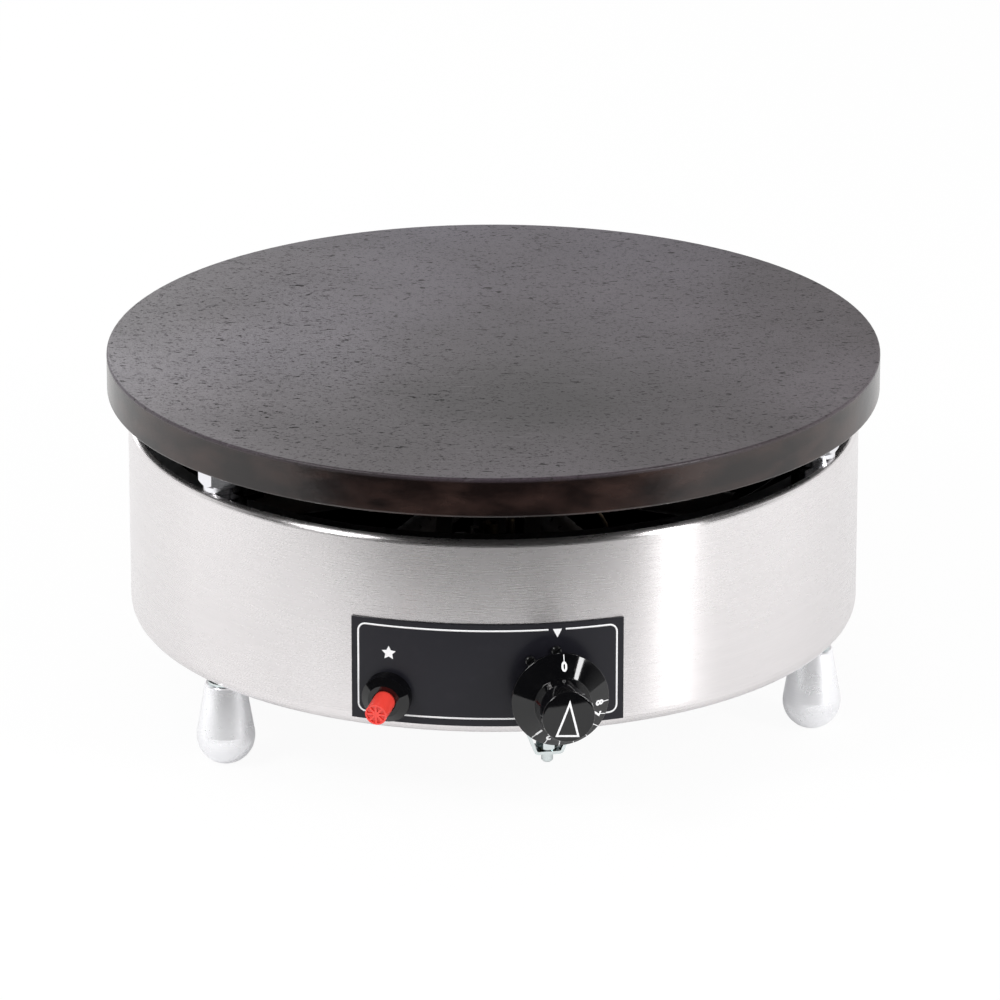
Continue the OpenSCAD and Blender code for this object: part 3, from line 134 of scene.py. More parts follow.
def joint_axis(name: str, inward: bool = False) -> Axis:
    """Reads the axis of a joint.

    Args:
        name: the joint's name.
        inward: True where the joint's own axis points into the machine.

    Returns:
        The axis, pointing outward.
    """
    joint = joint_row(name)
    outward = Vector(joint["axis"]).normalized() * (-1 if inward else 1)
    return Axis(Vector(joint.get("pos_m", (0, 0, 0))), outward)


def around(azimuth: float, radius: float, height: float) -> Vector:
    """Gives the point at an azimuth in degrees, a radius and a height."""
    a = math.radians(azimuth)
    return Vector((radius * math.sin(a), -radius * math.cos(a), height))


# Meshes


def new_piece(name: str, mesh: Mesh, finish: Material, smooth: bool = True) -> Object:
    """Puts a mesh into the scene.

    Args:
        name: name of the piece.
        mesh: its mesh, already in place.
        finish: its material.
        smooth: True shades it smooth, apart from edges over 35 degrees.

    Returns:
        The new object, at the origin.
    """
    mesh.materials.clear()
    mesh.materials.append(finish)
    if smooth:
        mesh.shade_smooth()
        mesh.set_sharp_from_angle(angle=SHARP_EDGE)
    piece = bpy.data.objects.new(name, mesh)
    bpy.context.scene.collection.objects.link(piece)
    return piece


def mesh_of(work: Callable[[bmesh.types.BMesh], None], name: str) -> Mesh:
    """Makes a mesh with a function that fills it.

    Args:
        work: fills the empty mesh that it is given.
        name: name of the mesh.

    Returns:
        The mesh, its doubles merged and its normals outward.
    """
    bm = bmesh.new()
    work(bm)
    bmesh.ops.remove_doubles(bm, verts=bm.verts, dist=MERGE_DISTANCE)
    bmesh.ops.recalc_face_normals(bm, faces=bm.faces)
    mesh = bpy.data.meshes.new(name)
    bm.to_mesh(mesh)
    bm.free()
    return mesh


def rounded(path: Sequence[tuple[float, float, float]]) -> list[Point]:
    """Rounds the corners of a profile.

    Args:
        path: corners as (radius, height, rounding), in order.

    Returns:
        The profile's points.
    """
    points: list[Point] = []
    for i, (x, y, r) in enumerate(path):
        if r <= 0 or i in (0, len(path) - 1):
            points.append((x, y))
            continue
        here = Vector((x, y))
        before = (Vector(path[i - 1][:2]) - here).normalized()
        after = (Vector(path[i + 1][:2]) - here).normalized()
        half = before.angle(after) / 2
        centre = here + (before + after).normalized() * (r / math.sin(half))
        start = here + before * (r / math.tan(half)) - centre
        sweep = start.angle_signed(here + after * (r / math.tan(half)) - centre)
        for k in range(CORNER_STEPS + 1):
            spoke = start.copy()
            spoke.rotate(Matrix.Rotation(-sweep * k / CORNER_STEPS, 2))
            points.append(tuple(centre + spoke))
    return points


def lathe(name: str, profile: Sequence[Point], place: Matrix) -> Mesh:
    """Turns a profile round the z axis of a place.

    Args:
        name: name of the mesh.
        profile: points as (radius, height); ends on the axis close the shape.
        place: where the z axis and its zero lie.

    Returns:
        The mesh.
    """
    turns = [2 * math.pi * k / LATHE_SIDES for k in range(LATHE_SIDES)]

    def fill(bm: bmesh.types.BMesh) -> None:
        """Adds the rings of the profile and the faces between them."""
        rings = []
        for r, h in profile:
            angles = turns if r > ON_AXIS else turns[:1]
            points = (Vector((r * math.cos(t), r * math.sin(t), h)) for t in angles)
            rings.append([bm.verts.new(place @ point) for point in points])
        for low, high in zip(rings, rings[1:]):
            if len(low) == 1 and len(high) == 1:
                continue
            for k in range(LATHE_SIDES):
                j = (k + 1) % LATHE_SIDES
                if len(low) == 1:
                    bm.faces.new((low[0], high[j], high[k]))
                elif len(high) == 1:
                    bm.faces.new((low[k], low[j], high[0]))
                else:
                    bm.faces.new((low[k], low[j], high[j], high[k]))

    return mesh_of(fill, name)


def slab(name: str, outlines: Sequence[Sequence[Point]], wrap: Wrap) -> Mesh:
    """Makes a thin closed slab from flat outlines and lays it on a surface.

    Args:
        name: name of the mesh.
        outlines: the outer outline first, then its holes, as flat points.
        wrap: takes a flat point and its height over the surface to its place.

    Returns:
        The mesh.
    """
    curve = bpy.data.curves.new(name, "CURVE")
    curve.dimensions = "2D"
    curve.fill_mode = "BOTH"
    for outline in outlines:
        spline = curve.splines.new("POLY")
        spline.points.add(len(outline) - 1)
        for point, (x, y) in zip(spline.points, outline):
            point.co = (x, y, 0, 1)
        spline.use_cyclic_u = True
    return wrapped(name, curve, wrap, PRINT_FINE)


def lettering(name: str, words: str, height: float, wrap: Wrap) -> Mesh:
    """Makes a numeral as a thin slab on a surface.

    Args:
        name: name of the mesh.
        words: what it says.
        height: height of a figure.
        wrap: takes a flat point, centred on the figure, to its place.

    Returns:
        The mesh.
    """
    text = bpy.data.curves.new(name, "FONT")
    text.body = words
    text.align_x = "CENTER"
    text.align_y = "CENTER"
    text.size = height / FIGURE_SHARE
    text.resolution_u = 4
    text.offset = FIGURE_WEIGHT * height
    return wrapped(name, text, wrap, FIGURE_FINE)


def wrapped(name: str, flat: bpy.types.Curve, wrap: Wrap, fine: float) -> Mesh:
    """Cuts a filled flat curve fine, gives it thickness and lays it on a surface.

    Args:
        name: name of the mesh.
        flat: a filled curve or a text.
        wrap: takes a flat point and its height over the surface to its place.
        fine: longest edge, so that the slab follows the surface.

    Returns:
        The mesh.
    """
    holder = bpy.data.objects.new(name, flat)
    bpy.context.scene.collection.objects.link(holder)
    graph = bpy.context.evaluated_depsgraph_get()
    source = bpy.data.meshes.new_from_object(holder.evaluated_get(graph))
    bpy.data.objects.remove(holder)

    def fill(bm: bmesh.types.BMesh) -> None:
        """Reads the flat mesh, cuts it, and lifts a second skin over it."""
        bm.from_mesh(source)
        bmesh.ops.remove_doubles(bm, verts=bm.verts, dist=1e-6)
        bmesh.ops.triangulate(bm, faces=bm.faces)
        for _ in range(CUT_ROUNDS):
            long = [e for e in bm.edges if e.calc_length() > fine]
            if not long:
                break
            bmesh.ops.subdivide_edges(bm, edges=long, cuts=1)
            bmesh.ops.triangulate(bm, faces=[f for f in bm.faces if len(f.verts) > 3])
        made = bmesh.ops.extrude_face_region(bm, geom=list(bm.faces))
        lifted = {v for v in made["geom"] if isinstance(v, bmesh.types.BMVert)}
        for v in bm.verts:
            v.co = wrap(v.co.x, v.co.y, PRINT_THICKNESS if v in lifted else 0.0)

    mesh = mesh_of(fill, name)
    bpy.data.meshes.remove(source)
    return mesh


# Node trees


class Graph:
    """A node tree being filled, with one short call for each kind of node that it uses."""

    def __init__(self, tree: bpy.types.NodeTree) -> None:
        """Takes the tree."""
        self.tree = tree

    def node(self, kind: str, **settings) -> bpy.types.Node:
        """Adds a shader node and sets its properties.

        Args:
            kind: the node's type, without its usual beginning.
            **settings: its properties.

        Returns:
            The node.
        """
        node = self.tree.nodes.new("ShaderNode" + kind)
        for key, value in settings.items():
            setattr(node, key, value)
        return node

    def feed(self, node: bpy.types.Node, name: str | int, value: object) -> None:
        """Sets or links one input of a node.

        Args:
            node: the node.
            name: the input's name or number.
            value: a plain value, or the socket that feeds it.
        """
        if isinstance(value, NodeSocket):
            self.tree.links.new(value, node.inputs[name])
        else:
            node.inputs[name].default_value = value

    def run(self, kind: str, inputs: dict, result: int = 0, **settings) -> NodeSocket:
        """Adds a shader node and feeds it.

        Args:
            kind: the node's type, without its usual beginning.
            inputs: each input's name or number, and its value or socket.
            result: number of the output that is asked for.
            **settings: the node's properties.

        Returns:
            That output.
        """
        node = self.node(kind, **settings)
        for name, value in inputs.items():
            self.feed(node, name, value)
        return node.outputs[result]

    def math(self, operation: str, *terms: float | NodeSocket) -> NodeSocket:
        """Adds a sum of one kind and gives its result."""
        return self.run("Math", dict(enumerate(terms)), operation=operation)

    def plus(self, a: float | NodeSocket, b: float | NodeSocket) -> NodeSocket:
        """Adds two terms."""
        return self.math("ADD", a, b)

    def minus(self, a: float | NodeSocket, b: float | NodeSocket) -> NodeSocket:
        """Takes the second term from the first."""
        return self.math("SUBTRACT", a, b)

    def times(self, a: float | NodeSocket, b: float | NodeSocket) -> NodeSocket:
        """Multiplies two terms."""
        return self.math("MULTIPLY", a, b)

    def range(self, value: NodeSocket, low: float, high: float, first: float, last: float) -> NodeSocket:
        """Maps a value from low and high to first and last, held at its ends."""
        return self.run("MapRange", dict(enumerate((value, low, high, first, last))))

    def blend(self, share: NodeSocket, a: float | NodeSocket, b: float | NodeSocket) -> NodeSocket:
        """Mixes two numbers by a share."""
        return self.run("Mix", {0: share, 2: a, 3: b}, data_type="FLOAT")

    def split(self, place: NodeSocket) -> tuple[NodeSocket, NodeSocket, NodeSocket]:
        """Takes coordinates apart."""
        node = self.node("SeparateXYZ")
        self.feed(node, 0, place)
        return tuple(node.outputs)

    def join(self, *parts: float | NodeSocket) -> NodeSocket:
        """Puts up to three numbers together as coordinates."""
        return self.run("CombineXYZ", dict(enumerate(parts)))

    def shiny(self, rays: bpy.types.bpy_prop_collection) -> NodeSocket:
        """Tells whether a ray was last reflected or refracted by gloss."""
        return self.math("MAXIMUM", rays["Is Glossy Ray"], rays["Is Transmission Ray"])


class Growth(Graph):
    """A tree of geometry nodes that grows one piece, with named inputs for its sizes."""

    def __init__(self, name: str, sizes: dict[str, float]) -> None:
        """Starts the tree.

        Args:
            name: name of the tree.
            sizes: each input's name and value; a whole number makes a whole-number input.
        """
        super().__init__(bpy.data.node_groups.new(name, "GeometryNodeTree"))
        face = self.tree.interface
        face.new_socket("Geometry", in_out="INPUT", socket_type="NodeSocketGeometry")
        self.sizes = dict(sizes)
        for label, value in sizes.items():
            kind = "NodeSocketInt" if isinstance(value, int) else "NodeSocketFloat"
            face.new_socket(label, in_out="INPUT", socket_type=kind)
        face.new_socket("Finish", in_out="INPUT", socket_type="NodeSocketMaterial")
        face.new_socket("Geometry", in_out="OUTPUT", socket_type="NodeSocketGeometry")
        self.inputs = self.tree.nodes.new("NodeGroupInput")

    def size(self, label: str) -> NodeSocket:
        """Gives the socket of a named input."""
        return self.inputs.outputs[label]

    def add(self, kind: str, settings: dict | None = None, **links) -> NodeSocket:
        """Adds a geometry node and feeds it.

        Args:
            kind: the node's type, without its usual beginning.
            settings: properties of the node.
            **links: input names, spaces as underscores, with a socket or a value each.

        Returns:
            The node's first output.
        """
        node = self.tree.nodes.new("GeometryNode" + kind)
        for key, value in (settings or {}).items():
            setattr(node, key, value)
        for key, value in links.items():
            self.feed(node, key.replace("_", " "), value)
        return node.outputs[0]

    def grow(self, name: str, shape: NodeSocket, finish: Material) -> Mesh:
        """Ends the tree, runs it and keeps the result as a plain mesh.

        Args:
            name: name of the mesh.
            shape: socket with the finished shape.
            finish: material of the shape.

        Returns:
            The plain mesh.
        """
        real = self.add("RealizeInstances", Geometry=shape)
        coat = self.add("SetMaterial", Geometry=real, Material=self.size("Finish"))
        self.tree.links.new(coat, self.tree.nodes.new("NodeGroupOutput").inputs["Geometry"])
        holder = bpy.data.objects.new(name, bpy.data.meshes.new(name))
        bpy.context.scene.collection.objects.link(holder)
        modifier = holder.modifiers.new("growth", "NODES")
        modifier.node_group = self.tree
        values = {**self.sizes, "Finish": finish}
        for item in self.tree.interface.items_tree:
            if item.in_out == "INPUT" and item.name in values:
                modifier[item.identifier] = values[item.name]
        graph = bpy.context.evaluated_depsgraph_get()
        mesh = bpy.data.meshes.new_from_object(holder.evaluated_get(graph))
        holder.modifiers.remove(modifier)
        bpy.data.objects.remove(holder)
        mesh.name = name
        return mesh


# Finishes


class Shader(Graph):
    """A material being made."""

    def __init__(self, name: str) -> None:
        """Starts a material with the usual surface node.

        Args:
            name: name of the material.
        """
        self.material = bpy.data.materials.new(name)
        self.material.use_nodes = True
        super().__init__(self.material.node_tree)
        self.surface = self.tree.nodes["Principled BSDF"]
        self.place = self.node("TexCoord").outputs["Object"]

    def set(self, **values: float | tuple) -> None:
        """Sets plain values on the surface, spaces in the names as underscores."""
        for key, value in values.items():
            self.feed(self.surface, key.replace("_", " "), value)

    def link(self, socket: NodeSocket, name: str) -> None:
        """Feeds a socket of the surface."""
        self.feed(self.surface, name, socket)

    def stretched(self, scale: tuple, turn: tuple = (0, 0, 0), at: NodeSocket | None = None) -> NodeSocket:
        """Stretches and turns the pattern's coordinates.

        Args:
            scale: factor along each axis.
            turn: turn about each axis, in degrees.
            at: coordinates to start from, the object's own by default.

        Returns:
            The new coordinates.
        """
        angles = tuple(math.radians(t) for t in turn)
        return self.run("Mapping", {"Vector": at or self.place, "Scale": scale, "Rotation": angles})

    def round_axis(self, centre: tuple[float, float, float], radius: float) -> NodeSocket:
        """Unrolls the object's coordinates round an upright axis.

        Args:
            centre: a point on the axis.
            radius: radius at which the unrolled length is true.

        Returns:
            Coordinates of length round the axis, distance from it, and height.
        """
        shifted = self.run("VectorMath", {0: self.place, 1: centre}, operation="SUBTRACT")
        x, y, z = self.split(shifted)
        angle = self.math("ARCTAN2", x, self.times(y, -1.0))
        away = self.math("SQRT", self.plus(self.times(x, x), self.times(y, y)))
        return self.join(self.times(angle, radius), away, z)

    def noise(self, scale: float, detail: float = 3.0, at: NodeSocket | None = None) -> NodeSocket:
        """Gives soft noise from 0 to 1.

        Args:
            scale: features to the metre.
            detail: how many finer layers it has.
            at: coordinates, the object's own by default.

        Returns:
            The noise.
        """
        return self.run("TexNoise", {"Vector": at or self.place, "Scale": scale, "Detail": detail})

    def marks(
        self,
        scale: float,
        detail: float,
        low: float,
        high: float,
        stretch: tuple | None = None,
        turn: tuple = (0, 0, 0),
    ) -> NodeSocket:
        """Gives noise that stands out as marks from 0 to 1.

        Args:
            scale: features to the metre.
            detail: how many finer layers it has.
            low: level of the noise up to which there is no mark.
            high: level from which the mark is full.
            stretch: factor along each axis, none by default.
            turn: turn about each axis, in degrees.

        Returns:
            The marks.
        """
        at = self.stretched(stretch, turn) if stretch else None
        return self.range(self.noise(scale, detail, at), low, high, 0.0, 1.0)

    def mix(self, share: float | NodeSocket, a: Colour | NodeSocket, b: Colour | NodeSocket) -> NodeSocket:
        """Mixes two colours by a share."""
        first, second = (c if isinstance(c, NodeSocket) else (*c, 1.0) for c in (a, b))
        return self.run("Mix", {0: share, 6: first, 7: second}, result=2, data_type="RGBA")

    def scaled(self, colour: Colour | NodeSocket, factor: NodeSocket) -> NodeSocket:
        """Makes a colour lighter or darker by a factor."""
        return self.run("VectorMath", {0: colour, "Scale": factor}, operation="SCALE")

    def relief(self, height: NodeSocket, depth: float, under: NodeSocket | None = None) -> NodeSocket:
        """Adds relief and gives the new normal.

        Args:
            height: relief from 0 to 1.
            depth: its full depth.
            under: the normal of other relief below it.

        Returns:
            The normal.
        """
        inputs = {"Height": height, "Distance": depth, "Strength": 1.0}
        if under is not None:
            inputs["Normal"] = under
        return self.run("Bump", inputs)


@dataclass(frozen=True)
class SeasonedIron:
    """Cast iron blackened by use: pitted and specked on top, with a painted reflection that pales the top
    towards its left side, browner round the rim, sooty below.
    """

    name: str = "seasoned_iron"
    dark: Colour = (0.034, 0.021, 0.025)
    pale: Colour = (0.066, 0.047, 0.060)
    # colour of the painted reflection on the top's left side
    painted_reflection: Colour = (0.092, 0.080, 0.118)
    pit: Colour = (0.010, 0.007, 0.008)
    baked: Colour = (0.010, 0.006, 0.007)
    baked_at: tuple[float, float, float] = (0.02, -0.08, 0.0)
    worn: Colour = (0.13, 0.11, 0.125)
    rim: Colour = (0.006, 0.0030, 0.0026)
    rim_worn: Colour = (0.030, 0.016, 0.013)
    soot: Colour = (0.0012, 0.0012, 0.0012)
    roughness: float = 0.42
    plate: str = "griddle_plate"

    def material(self) -> Material:
        """Makes the material."""
        low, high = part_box(self.plate)
        s = Shader(self.name)
        clouds = s.marks(5, 3, 0.38, 0.62)
        # painted reflection: a paler, bluish tone, strongest at the plate's left edge and fading to the
        # right, broken up by noise
        lean = s.range(s.split(s.stretched((1, 1, 1), (0, 0, 30)))[0], low.x, high.x, 1.0, 0.0)
        reflection_patches = s.times(lean, s.range(s.noise(4, 2), 0.40, 0.62, 0.3, 1.0))
        grain = s.noise(1300, 3)
        speck = s.marks(900, 3, 0.58, 0.70, (0.6, 1, 1))
        chip = s.marks(400, 4, 0.635, 0.69, (0.5, 1, 1), (0, 0, 6))
        pits = s.math("MAXIMUM", speck, chip)
        fine = s.marks(44, 2, 0.66, 0.71, (1, 22, 1), (0, 0, 24))
        cross = s.marks(38, 2, 0.67, 0.72, (19, 1, 1), (0, 0, 15))
        tone = s.mix(clouds, self.dark, self.pale)
        tone = s.mix(s.times(reflection_patches, 0.75), tone, self.painted_reflection)
        near = s.split(s.round_axis(self.baked_at, high.x))[1]
        thick = s.times(s.range(near, 0.03, 0.17, 1.0, 0.0), s.range(clouds, 0.0, 1.0, 0.8, 0.5))
        tone = s.mix(thick, tone, self.baked)
        tone = s.mix(s.range(grain, 0.36, 0.62, 0.6, 0.0), tone, self.pit)
        tone = s.mix(s.times(s.math("MAXIMUM", s.times(speck, 0.7), chip), 0.95), tone, self.pit)
        tone = s.mix(s.times(fine, 0.35), tone, self.worn)
        tone = s.mix(s.times(cross, 0.6), tone, self.pit)
        _, away, height = s.split(s.round_axis((0, 0, 0), high.x))
        side = s.range(height, high.z - 2.5 * MM, high.z - 0.6 * MM, 1.0, 0.0)
        wear = s.range(s.noise(34, 4, s.stretched((1, 1, 2.5))), 0.40, 0.66, 0.0, 0.9)
        tone = s.mix(side, tone, s.mix(wear, self.rim, self.rim_worn))
        under = s.times(s.range(away, high.x - 3 * MM, high.x - 6 * MM, 0.0, 1.0), side)
        s.link(s.mix(under, tone, self.soot), "Base Color")
        plain = s.range(clouds, 0.0, 1.0, self.roughness + 0.03, self.roughness - 0.03)
        marked = s.plus(plain, s.times(pits, 0.30))
        s.link(s.blend(side, marked, s.plus(0.20, s.times(under, 0.6))), "Roughness")
        relief = s.times(s.minus(grain, s.times(pits, 0.8)), s.range(side, 0.0, 1.0, 1.0, 0.12))
        s.link(s.relief(s.noise(90, 2), 0.00010, s.relief(relief, 0.00006)), "Normal")
        s.set(Specular_IOR_Level=0.52)
        return s.material


@dataclass(frozen=True)
class BrushedSheet:
    """Stainless sheet brushed round an upright axis, with painted shade on its inner side."""

    name: str = "brushed_sheet"
    colour: Colour = (0.80, 0.772, 0.775)
    # colour of the painted shade on the drum's inner wall
    inner: Colour = (0.010, 0.009, 0.009)
    roughness: float = 0.27
    drum: str = "outer_shell"

    def material(self) -> Material:
        """Makes the material."""
        low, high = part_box(self.drum)
        s = Shader(self.name)
        flat = s.round_axis((0, 0, 0), high.x)
        _, away, height = s.split(flat)
        fine = s.noise(1.0, 3, s.stretched((110, 110, 2100), at=flat))
        broad = s.noise(1.0, 2, s.stretched((14, 14, 320), at=flat))
        tone = s.times(s.range(fine, 0.3, 0.7, 0.983, 1.015), s.range(broad, 0.3, 0.7, 0.99, 1.01))
        # painted shade: the inner wall, from above the bottom lip up to below the flange, is coloured
        # near-black and made rougher
        inside = s.range(away, high.x - 0.6 * MM, high.x - 0.3 * MM, 1.0, 0.0)
        below = s.range(height, high.z - 3.6 * MM, high.z - 3.1 * MM, 1.0, 0.0)
        above = s.range(height, low.z + 8 * MM, low.z + 8.5 * MM, 0.0, 1.0)
        dark = s.times(inside, s.times(below, above))
        s.link(s.mix(dark, s.scaled(self.colour, tone), self.inner), "Base Color")
        streaks = s.range(fine, 0.3, 0.7, -0.02, 0.02)
        clouds = s.range(s.noise(9, 3), 0.3, 0.7, self.roughness - 0.02, self.roughness + 0.03)
        s.link(s.plus(s.plus(streaks, clouds), s.times(dark, 0.3)), "Roughness")
        s.link(s.relief(fine, 0.0000006), "Normal")
        s.set(Metallic=1.0, Anisotropic=0.85, Anisotropic_Rotation=0.25)
        s.link(s.node("Tangent", direction_type="RADIAL", axis="Z").outputs[0], "Tangent")
        return s.material


@dataclass(frozen=True)
class PlainMetal:
    """Bare or plated metal with faint clouds, a fine grain and small marks."""

    name: str
    colour: Colour
    tint: Colour
    roughness: float
    grain: float = 900.0
    depth: float = 0.000006
    stain: float = 0.25
    metallic: float = 1.0

    def material(self) -> Material:
        """Makes the material."""
        s = Shader(self.name)
        clouds = s.noise(38, 4)
        stain = s.times(s.range(clouds, 0.35, 0.7, 0.0, 1.0), self.stain)
        s.link(self.toned(s, s.mix(stain, self.colour, self.tint)), "Base Color")
        rough = s.range(clouds, 0.3, 0.7, self.roughness * 0.85, self.roughness * 1.2)
        marks = s.marks(260, 3, 0.64, 0.74, (1, 6, 1), (20, 15, 40))
        s.link(s.plus(rough, s.times(marks, 0.10)), "Roughness")
        s.link(s.relief(s.noise(self.grain, 3), self.depth), "Normal")
        s.set(Metallic=self.metallic)
        return s.material

    def toned(self, s: Shader, tone: NodeSocket) -> NodeSocket:
        """Gives the surface's colour; a finish with darker places changes it here."""
        return tone


@dataclass(frozen=True)
class SheetWithPaintedShade(PlainMetal):
    """Steel of a flat sheet, bright on its outer face, with painted shade behind it.

    Attributes:
        inner: colour of the painted shade.
        sheet: node of the sheet.
        top: True where the outer face is the sheet's top, False where it is its underside.
        bright: depth behind the outer face down to which it stays bright.
        dark: depth from which it is fully dark.
    """

    inner: Colour = (0.010, 0.009, 0.009)
    sheet: str = "top_ring"
    top: bool = True
    bright: float = 0.3 * MM
    dark: float = 0.6 * MM

    def toned(self, s: Shader, tone: NodeSocket) -> NodeSocket:
        """Paints shade on what lies behind the outer face.

        Args:
            s: the material.
            tone: its colour so far.

        Returns:
            The new colour.
        """
        low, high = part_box(self.sheet)
        face, inward = (high.z, -1) if self.top else (low.z, 1)
        height = s.split(s.place)[2]
        # painted shade: the sheet is darkened behind its outer face
        behind = s.range(height, face + inward * self.bright, face + inward * self.dark, 0.0, 1.0)
        return s.mix(behind, tone, self.inner)


@dataclass(frozen=True)
class PostSteel(PlainMetal):
    """Bright steel of the levelling posts, with painted shade on the side that faces the burner.

    Attributes:
        burner_side_shade: colour of the painted shade on that side.
        post: node of one of the posts.
        bright: distance inward of the post's axis up to which it stays bright.
        dark: distance from which it is fully dark.
    """

    burner_side_shade: Colour = (0.012, 0.011, 0.011)
    post: str = "levelling_post_3"
    bright: float = 3 * MM
    dark: float = 7 * MM

    def toned(self, s: Shader, tone: NodeSocket) -> NodeSocket:
        """Paints shade on what lies nearer to the machine's axis than the posts' own axes.

        Args:
            s: the material.
            tone: its colour so far.

        Returns:
            The new colour.
        """
        low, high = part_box(self.post)
        circle = ((low + high) / 2).xy.length
        away = s.split(s.round_axis((0, 0, 0), circle))[1]
        # painted shade on the posts' sides that face the burner
        return s.mix(s.range(away, circle - self.dark, circle - self.bright, 1.0, 0.0), tone, self.burner_side_shade)


@dataclass(frozen=True)
class TurnedMetal(PlainMetal):
    """Cast metal finished on a lathe, with fine level rings."""

    def toned(self, s: Shader, tone: NodeSocket) -> NodeSocket:
        """Adds the tone of the fine rings left by turning."""
        rings = s.noise(1.0, 2, s.stretched((9, 9, 2400)))
        return s.scaled(tone, s.range(rings, 0.35, 0.65, 0.975, 1.015))


@dataclass(frozen=True)
class DullCoat:
    """A dry, non-metallic coat such as dark iron, rubber or ceramic."""

    name: str
    colour: Colour
    tint: Colour
    roughness: float
    grain: float = 600.0
    depth: float = 0.00004
    gloss: float = 0.5

    def material(self) -> Material:
        """Makes the material."""
        s = Shader(self.name)
        grain = s.noise(self.grain, 3)
        s.link(s.mix(s.marks(45, 4, 0.35, 0.65), self.colour, self.tint), "Base Color")
        s.link(s.range(grain, 0.3, 0.7, self.roughness - 0.04, self.roughness + 0.05), "Roughness")
        s.link(s.relief(grain, self.depth), "Normal")
        s.set(Specular_IOR_Level=self.gloss)
        return s.material


@dataclass(frozen=True)
class Moulding:
    """Moulded plastic: a clear tone, a faint orange peel and light handling marks."""

    name: str
    colour: Colour
    roughness: float
    gloss: float = 0.5
    peel: float = 0.0000012
    glow: float = 0.0

    def material(self) -> Material:
        """Makes the material."""
        s = Shader(self.name)
        dust = s.marks(160, 4, 0.55, 0.75)
        pale = tuple(min(1.0, c * 1.25 + 0.004) for c in self.colour)
        s.link(s.mix(s.times(dust, 0.35), self.colour, pale), "Base Color")
        s.link(s.plus(s.times(dust, 0.06), self.roughness), "Roughness")
        s.link(s.relief(s.noise(420, 2), self.peel), "Normal")
        s.set(Specular_IOR_Level=self.gloss)
        if self.glow:
            s.set(Subsurface_Weight=self.glow, Subsurface_Scale=0.002)
        return s.material


@dataclass(frozen=True)
class Ink:
    """Printed ink, slightly uneven."""

    name: str = "white_ink"
    colour: Colour = (0.86, 0.86, 0.87)

    def material(self) -> Material:
        """Makes the material."""
        s = Shader(self.name)
        uneven = s.marks(900, 3, 0.3, 0.7)
        worn = tuple(c * 0.9 for c in self.colour)
        s.link(s.mix(uneven, self.colour, worn), "Base Color")
        s.link(s.range(uneven, 0.0, 1.0, 0.42, 0.55), "Roughness")
        s.set(Specular_IOR_Level=0.3)
        return s.material


class Coat(Enum):
    """The finishes of the machine, each made once."""

    IRON = SeasonedIron()
    SHELL = BrushedSheet()
    # base plate, with painted shade on all but its underside
    BASE = SheetWithPaintedShade(
        "base_sheet",
        (0.55, 0.55, 0.56),
        (0.40, 0.40, 0.42),
        0.38,
        inner=(0.014, 0.013, 0.013),
        sheet="base_plate",
        top=False,
        bright=0.1 * MM,
        dark=0.3 * MM,
    )
    # painted shade: the heat shield, clips, mixing tube, column and stands inside the drum are coloured
    # near-black
    ALUMINISED = PlainMetal(
        "aluminised_sheet_in_painted_shade", (0.034, 0.031, 0.029), (0.018, 0.016, 0.015), 0.60, 500, 0.00001
    )
    FOOT = TurnedMetal(
        "satin_aluminium", (0.95, 0.95, 0.97), (0.88, 0.88, 0.91), 0.26, 1400, 0.000002, metallic=0.75
    )
    # posts, with painted shade on their inner sides
    POST = PostSteel("post_steel", (0.84, 0.84, 0.87), (0.76, 0.75, 0.80), 0.16, 1600, 0.000002)
    # painted shade: the pilot, its bracket, the thermocouple, the bulb and the capillary inside the drum
    # are coloured near-black
    BRASS_IN_SHADE = PlainMetal("brass_in_painted_shade", (0.070, 0.052, 0.034), (0.030, 0.022, 0.016), 0.50)
    # top ring, with painted shade below its top face
    RING = SheetWithPaintedShade("polished_ring", (0.72, 0.72, 0.74), (0.66, 0.66, 0.68), 0.07, 1600, 0.000001)
    BRIGHT = PlainMetal("bright_steel", (0.84, 0.84, 0.87), (0.76, 0.75, 0.80), 0.16, 1600, 0.000002)
    ZINC = PlainMetal("zinc_plate", (0.72, 0.77, 0.77), (0.48, 0.56, 0.55), 0.15, 900, 0.000004)
    # the burner's own dark iron, darkened further as painted shade inside the drum
    BURNER = DullCoat("burnt_iron_and_painted_shade", (0.016, 0.014, 0.014), (0.035, 0.026, 0.022), 0.62, gloss=0.2)
    BRASS = PlainMetal("brass", (0.62, 0.47, 0.24), (0.40, 0.28, 0.14), 0.32)
    COPPER = PlainMetal("copper", (0.58, 0.32, 0.20), (0.30, 0.16, 0.10), 0.34)
    # painted shade: the spark electrode's ceramic is coloured dark brown inside the drum
    CERAMIC = DullCoat("ceramic_in_painted_shade", (0.060, 0.052, 0.046), (0.026, 0.022, 0.020), 0.55, 500, 0.000004)
    LEAD = DullCoat("silicone_lead", (0.40, 0.07, 0.03), (0.34, 0.06, 0.03), 0.55, 800, 0.00001)
    PANEL = Moulding("label_plate", (0.0105, 0.0102, 0.0145), 0.30, gloss=0.28)
    GLOSS = Moulding("gloss_black", (0.0025, 0.0025, 0.003), 0.06)
    SATIN = Moulding("satin_black", (0.008, 0.008, 0.009), 0.35)
    RED = Moulding("button_red", (0.84, 0.070, 0.040), 0.16, glow=0.15)
    SCREW = Moulding("black_screw", (0.006, 0.006, 0.0065), 0.28)
    WHITE = Ink()

    def material(self) -> Material:
        """Gives the material, made on first use."""
        found = bpy.data.materials.get(self.value.name)
        return found or self.value.material()


